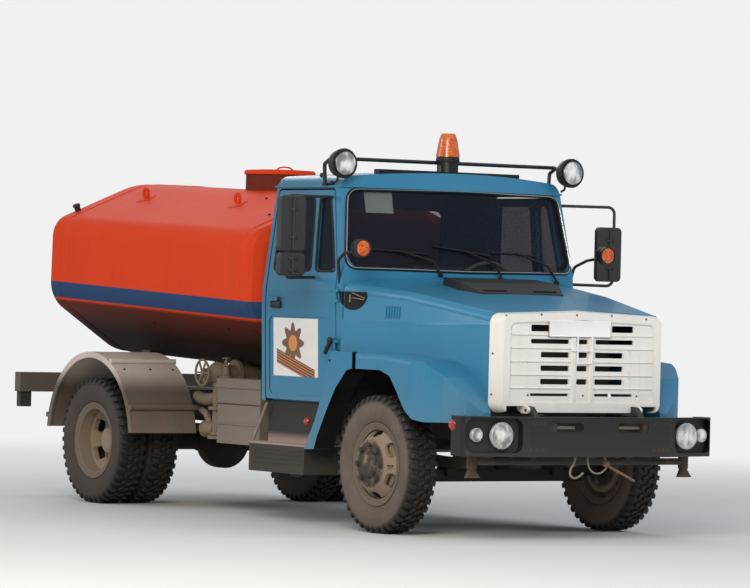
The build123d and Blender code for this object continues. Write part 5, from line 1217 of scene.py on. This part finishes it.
# Seats: sprung pads in worn woven cloth, each with a piped edge, on the bench and the driver's seat. They
# stand on frames of folded steel sheet, screwed to the cab's floor.
THREADS = 1900.0
SEAT_BACK, SEAT_FRONT = -1478, -1014


def cloth():
    """Brown woven cloth, faded in patches."""
    made = Finish("seat_cloth")
    warp = made.wire.math("SINE", made.y * THREADS)
    weft = made.wire.math("SINE", (made.x + made.z) * THREADS)
    cloud = made.noise(6.0, 4)
    faded_and_shaded = (cloud * 0.7).over(hue("6E6252"), hue("4A4239"))
    made.set(Base_Color=faded_and_shaded, Roughness=cloud * 0.1 + 0.8, Sheen_Weight=0.3)
    made.bump(warp * weft, 0.0004)
    return made.material


def pad(name, low, high, crown, facing):
    """A crowned pad: a cube divided, its face swollen, its edges drawn in."""
    piece = block(name, low, high)
    bpy.ops.object.mode_set(mode="EDIT")
    bpy.ops.mesh.select_all(action="SELECT")
    bpy.ops.mesh.subdivide(number_cuts=5)
    middle = (at(*low) + at(*high)) / 2
    half = (at(*high) - at(*low)) / 2
    mesh = bmesh.from_edit_mesh(piece.data)
    for corner in mesh.verts:
        off = [(corner.co[axis] - middle[axis]) / half[axis] for axis in range(3)]
        others = [abs(off[axis]) for axis in range(3) if axis != facing]
        fall = (1 - others[0] ** 4) * (1 - others[1] ** 4)
        corner.co[facing] += crown / 1000 * fall * (1 if off[facing] > 0 else -0.2)
    bmesh.update_edit_mesh(piece.data)
    bpy.ops.object.mode_set(mode="OBJECT")
    return modified(piece, "SUBSURF", levels=2, render_levels=2)


seat_cloth = cloth()
seat_steel = weathered("seat_steel", hue("2C2D2E"), gloss=0.5, dust=0.3, dust_top=1.6)
BACK_LEAN = math.radians(2.4)
shells = []
for label, near, end in (("driver", 180, 700), ("bench", -860, -60)):
    cushion = pad("seat_cushion_" + label, (SEAT_BACK, near + 4, 1162), (SEAT_FRONT, end - 4, 1284), 14, 2)
    back = pad("seat_back_" + label, (-1490, near + 4, 1292), (-1404, end - 4, 1880), 12, 0)
    hinge = at(-1440, 0, 1290)
    leaning = Matrix.Rotation(-BACK_LEAN, 4, "Y")
    back.matrix_world = Matrix.Translation(hinge) @ leaning @ Matrix.Translation(-hinge)
    for piece in (cushion, back):
        mount(piece, "chassis", "seat_fabric", seat_cloth)
    corners = [(-1474, near + 8), (-1018, near + 8), (-1018, end - 8), (-1474, end - 8)]
    shells.append(tube("piping", [at(x, y, 1270) for x, y in rounded(corners, 22)], 4.5, True, 1))
    shells.append(block("seat_frame", (-1450, near + 40, 921), (-1040, end - 40, 1164), 12))
    shells.append(block("seat_pan", (-1486, near + 10, 1148), (-1020, end - 10, 1166), 6))
    shells.append(block("seat_riser", (-1498, near + 60, 1150), (-1484, end - 60, 1400), 4))
mount(joined("seat_frames", *shells), "chassis", "seat_fabric", seat_steel, "seats")

# Mirrors: glass in a black moulded shell, its back ribbed, clamped to a tube frame with two bolts. The
# right frame carries a tall head over a wide-angle one; each frame is bent tube in black enamel.
mirror_shell = weathered("mirror_shell", hue("303133"), gloss=0.5, dust=0.3)
dress(mirror_shell, "mirrors_left", "mirrors_right")
mirror_glass = weathered("mirror_glass", hue("C4CBCE"), gloss=0.04, dust=0.08, metallic=1.0, pitting=0.00001)
# Each head's foot and top.
HEADS = {"left": [(1800, 2203)], "right": [(1782, 1946), (1954, 2352)]}
HEAD_Y, GLASS_HALF, CLAMP_HALF = 1389.0, 92, 34
for side, way in (("left", 1), ("right", -1)):
    glasses, clamps = [], []
    for z_low, z_high in HEADS[side]:
        middle_y, middle_z = way * HEAD_Y, (z_low + z_high) / 2
        spot = touched(at(-1600, middle_y, middle_z), (1, 0, 0), "mirrors_" + side)[0]
        back = spot.x * 1000 - FROM_FRONT_AXLE
        glass_low = (back - 1.5, middle_y - GLASS_HALF, z_low + 18)
        glasses.append(block("glass", glass_low, (back + 1, middle_y + GLASS_HALF, z_high - 18), 1, 1))
        spot = touched(at(200, middle_y, middle_z), (-1, 0, 0), "mirrors_" + side)[0]
        front = spot.x * 1000 - FROM_FRONT_AXLE
        for share in (0.25, 0.75):
            z = z_low + (z_high - z_low) * share
            clamp_low = (front - 3, middle_y - CLAMP_HALF, z - 9)
            clamps.append(block("clamp", clamp_low, (front + 10, middle_y + CLAMP_HALF, z + 9), 3))
            clamps.append(laid(bolt_head("clamp_bolt", 9, 7), at(front + 9, middle_y + 20, z), (1, 0, 0)))
        spine = [at(front + 5, middle_y, z_low + 14), at(front + 5, middle_y, z_high - 14)]
        clamps.append(tube("mirror_spine", spine, 9))
    mount(joined("mirror_glass_" + side, *glasses), "door_" + side, "trim_black", mirror_glass)
    mount(joined("mirror_clamps_" + side, *clamps), "door_" + side, "trim_black", mirror_shell)

# Water pipes: flanged cast fittings between the tank and the pump, bolted together, tan under dust. The
# spray pipe under the bumper is steel tube in black enamel, and its two fan nozzles have rusted.
pipe_enamel = weathered("pipe_enamel", hue("6F604C"), gloss=0.55, dust=0.5, dust_top=1.4, chips=0.08,
                        pitting=0.0008)
dress(pipe_enamel, "water_pipes")


def nozzle_rust(made, base):
    """Rust on the nozzles, which hang low near the pipe's ends."""
    outer = made.y.math("ABSOLUTE", made.y).above(0.72, 0.74)
    return (outer * made.z.above(0.60, 0.58)).over(base, hue("3F2E25"))


dress(weathered("spray_enamel", hue("151312"), gloss=0.6, dust=0.16, chips=0.06, shade=nozzle_rust),
      "spray_pipe")
PIPE_X, PIPE_Y, FLANGE_Z = -2715, -700, (1010, 1120)
BONNET = [(0, 52), (14, 52), (18, 34), (60, 30), (84, 20), (88, 28), (98, 28), (102, 15), (140, 12),
          (144, 34), (152, 34), (156, 10), (157, 0)]
COUPLING = [(-60, 50), (-60, 66), (-44, 66), (-40, 44), (30, 44), (34, 66), (50, 66), (50, 40), (-60, 50)]
STRAINER = [(-70, 0), (-70, 62), (-56, 66), (-50, 54), (44, 54), (50, 66), (64, 62), (64, 0)]
DRAIN_ELBOW = ((-3120, -640, 850), (-2980, -680, 830), (-2830, -700, 837), (-2640, -680, 880))
DRAIN_PIPE = ((-3090, -620, 745), (-3012, -660, 742), (-2900, -690, 720), (-2850, -690, 640))
flange_bolts = []
for z in FLANGE_Z:
    for turn in range(0, 360, 45):
        off = Vector((math.cos(math.radians(turn)), math.sin(math.radians(turn)), 0))
        hit, spot, face, number = nodes["water_pipes"].ray_cast(at(PIPE_X, PIPE_Y, z) + off * 0.6, -off)
        if hit:
            flange_bolts.append(laid(bolt_head("flange_bolt", 9, 8), spot, face))
valve = [laid(turned("bonnet", BONNET, 20), at(-2625, PIPE_Y, 1004))]
valve.append(laid(turned("coupling", COUPLING, 24), at(-2829, PIPE_Y, 1012), (1, 0, 0.1)))
valve.append(tube("drain_elbow", [at(*bend) for bend in DRAIN_ELBOW], 44, smooth=True, sides=4))
valve.append(laid(turned("strainer", STRAINER, 24), at(-2840, -690, 612), (1, 0.2, 0)))
valve.append(tube("drain_pipe", [at(*bend) for bend in DRAIN_PIPE], 26, smooth=True, sides=3))
mount(joined("valve_fittings", *valve), "chassis", "pipe_paint", pipe_enamel)
mount(joined("flange_bolts", *flange_bolts), "chassis", "pipe_paint", bolt_steel)

# Mudguards: rolled sheet with a turned edge over each pair of rear wheels, grey under thick road dust and
# rusty low down. Each is bolted to a cross tube.


def guard_dust(made, base):
    """Thick dust on the upper half, rust in clouds below it."""
    stains = made.noise(4.0, 4, (1, 1.6, 0.5), shift=5.0)
    upper = made.z.above(0.86, 1.06)
    rusty = made.z.above(0.86, 0.66) * stains.above(0.45, 0.65) * 0.6
    return rusty.over((upper * (stains * 0.5 + 0.7)).over(base, hue("CFC2B7")), hue("6B4638"))


guard_paint = weathered("mudguard_enamel", hue("4A423B"), gloss=0.55, dust=0.6, dust_top=1.2, chips=0.03,
                        shade=guard_dust, lying=0.6)
dress(guard_paint, "rear_fenders")
guard_bolts = []
GUARD_BOLT_Y, GUARD_BOLT_Z = (700, 900, 1130), 1040
for way in (-1, 1):
    for y in GUARD_BOLT_Y:
        spot, face = touched(at(-2600, way * y, GUARD_BOLT_Z), (-1, 0, 0), "rear_fenders")
        guard_bolts.append(laid(bolt_head("guard_bolt", 12, 8), spot, face))
mount(joined("mudguard_bolts", *guard_bolts), "chassis", "fender_grey", bolt_steel)

# Battery box and fuel tank: folded and welded sheet in grey enamel under dust. The box has a lid with a
# wire handle and a pressed rib, the tank two straps and a filler.
box_paint = weathered("box_enamel", hue("6E665C"), gloss=0.5, dust=0.5, dust_top=1.4, chips=0.05)
dress(box_paint, "battery_box", "fuel_tank")
BOX_REAR, BOX_FRONT, BOX_FACE, LID_EDGE_Z = -2408, -1811, -903, 822
# The handle's bends, as x and height over the lid in metres.
BOX_HANDLE = ((-2160, -0.004), (-2160, 0.04), (-2060, 0.04), (-2060, -0.004))
lid_ends = [at(x, BOX_FACE, LID_EDGE_Z) for x in (BOX_REAR, BOX_FRONT)]
lid_edge = tube("lid_edge", lid_ends, 4, sides=1)
handle = [touched(at(x, -700, 1300), (0, 0, -1), "battery_box")[0] + Vector((0, 0, lift))
          for x, lift in BOX_HANDLE]
mount(joined("battery_box_edges", lid_edge, tube("lid_handle", handle, 6)), "chassis", "box_grey", bolt_steel)
mount(block("battery_box_rib", (BOX_REAR + 2, -906, 666), (BOX_FRONT - 2, -896, 678), 3), "chassis",
      "box_grey", box_paint)
# Where each strap is felt for, as y and z outside the tank and the way towards it: over the top, down the
# side, back below.
DOWN, INWARD, UP = (0, 0, -1), (0, -1, 0), (0, 0, 1)
STRAP_ROUND = ((520, 1200, DOWN), (700, 1200, DOWN), (860, 1200, DOWN), (1200, 940, INWARD),
               (1200, 780, INWARD), (1200, 600, INWARD), (860, 200, UP), (700, 200, UP), (520, 200, UP))
straps = []
for x in (-2260, -1960):
    around_tank = [touched(at(x, y, z), heading, "fuel_tank")[0] for y, z, heading in STRAP_ROUND]
    strap = tube("strap", around_tank, 4, sides=1)
    straps += [strap, copied(strap, "strap")]
    straps[-1].location.x = 0.03
    settled(straps[-1])
FILLER_PROFILE = [(-6, 0), (-6, 48), (18, 48), (20, 56), (40, 56), (44, 50), (44, 0)]
filler_spot = touched(at(-1900, 640, 1300), DOWN, "fuel_tank")[0]
filler = laid(turned("filler", FILLER_PROFILE, 32), filler_spot, UP)
mount(joined("fuel_tank_trim", filler, *straps), "chassis", "box_grey", bolt_steel)

# Steps: folded black sheet below each door, its riser pressed with long ribs, its tread punched and grey
# with dust, and a slanted gusset behind it that carries the load to the frame. Each step is welded and
# bolted to two arms.
STEP_Y, TREAD_HALF, RISER_RIBS = 1040, 44, (430, 462, 494, 526)


def tread_grit_and_shade(made, base):
    """Trodden grit on the tread, and painted shade darkening the sheet up under the door."""
    grit = made.noise(60.0, 4)
    level = made.z.above(0.559, 0.565) * made.z.above(0.66, 0.58)
    tread = (level * (grit * 0.8 + 0.5)).over(base, hue("B39C90"))
    return (made.z.above(0.80, 0.86) * 0.8).over(tread, hue("121110"))


step_paint = weathered("step_enamel", hue("171614"), gloss=0.5, dust=0.3, dust_top=1.0, chips=0.05,
                       dust_colour=hue("6E6558"), shade=tread_grit_and_shade)
dress(step_paint, "cab_steps")
treads, edges = [], []
for way in (-1, 1):
    for x in range(-1580, -900, 40):
        spot = touched(at(x, way * STEP_Y, 900), (0, 0, -1), "cab_steps")[0]
        y, z = way * STEP_Y, spot.z * 1000
        rib_low, rib_high = (x - 6, y - TREAD_HALF, z - 2), (x + 6, y + TREAD_HALF, z + 3)
        treads.append(block("tread_rib", rib_low, rib_high, 1.5, 1))
    for z in RISER_RIBS:
        line = [touched(at(x, way * OUTSIDE, z), (0, -way, 0), "cab_steps")[0] for x in (-1560, -900)]
        treads.append(tube("riser_rib", line, 4))
    edges.append(tube("gusset_edge", [at(-1745, way * 990, 573), at(-1566, way * 990, 853)], 11, sides=3))
mount(joined("step_ribs", *treads), "chassis", "bumper_black", step_paint)
gusset_paint = weathered("gusset_enamel", hue("8E8072"), gloss=0.6, dust=0.4, chips=0.08)
mount(joined("step_gussets", *edges), "chassis", "bumper_black", gusset_paint)

# Under the bumper: a tow hook and a ring of bent steel bar hang from the brackets, and a rusty tap lever
# turns on the spray pipe.
BRACKETS_X = 1132.0
# Pixels of the photograph along each bar.
HOOK_LINE = ((576, 452), (575, 463), (570, 469), (570, 477), (577, 479), (583, 473))
RING_LINE = ((588, 452), (587, 464), (592, 473), (600, 474), (607, 468), (609, 461))
LEVER_LINE = ((604, 455), (606, 464), (614, 470), (626, 476), (634, 481))
LEVER_PIVOT = (606, 464)
hook_steel = weathered("hook_steel", hue("8E8678"), gloss=0.45, dust=0.4, metallic=0.3, chips=0.05)
rust_steel = weathered("rusty_lever", hue("6B4A33"), gloss=0.6, dust=0.4, chips=0.1)


def below(px, py):
    """The spot in the brackets' plane across the truck that shows at a pixel of the photograph."""
    start = camera.matrix_world.translation
    heading = gaze(px, py)
    return start + heading * ((BRACKETS_X + FROM_FRONT_AXLE) / 1000 - start.x) / heading.x


hook = tube("hook", [below(*spot) for spot in HOOK_LINE], 8, smooth=True, sides=3)
ring = tube("ring", [below(*spot) for spot in RING_LINE], 6, smooth=True, sides=3)
mount(joined("tow_hooks", hook, ring), "chassis", "bumper_black", hook_steel)
lever = tube("lever", [below(*spot) for spot in LEVER_LINE], 9, smooth=True, sides=3)
boss = turned("lever_boss", [(-16, 0), (-16, 20), (16, 20), (16, 0)], 20)
laid(boss, below(*LEVER_PIVOT), (0, 1, 0))
mount(joined("tap_lever", lever, boss), "chassis", "bumper_black", rust_steel)

# Rear lamps: pressed red and amber lenses in black moulded housings under the ends of the rear beam. Each
# lens is held to its housing by screws.
TAIL_Y, TAIL_Z, LENS_HALF_HIGH = 960, 780, 20
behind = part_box("rear_beam")[0].x * 1000 - FROM_FRONT_AXLE - 500
reds, ambers = [], []
for way in (-1, 1):
    spot = touched(at(behind, way * TAIL_Y, TAIL_Z), (1, 0, 0), "signal_lamps", "rear_beam")[0]
    x, y, z = spot.x * 1000 - FROM_FRONT_AXLE, spot.y * 1000, spot.z * 1000
    foot, top = z - LENS_HALF_HIGH, z + LENS_HALF_HIGH
    amber_y = y + 14 * way
    reds.append(block("red_lens", (x - 5, y - 26, foot), (x + 2, y + 12, top), 4))
    ambers.append(block("amber_lens", (x - 5, amber_y + 14, foot), (x + 2, amber_y + 34, top), 4))
mount(joined("tail_lenses_red", *reds), "chassis", "amber_lens", red_lens)
mount(joined("tail_lenses_amber", *ambers), "chassis", "amber_lens", amber_lens)
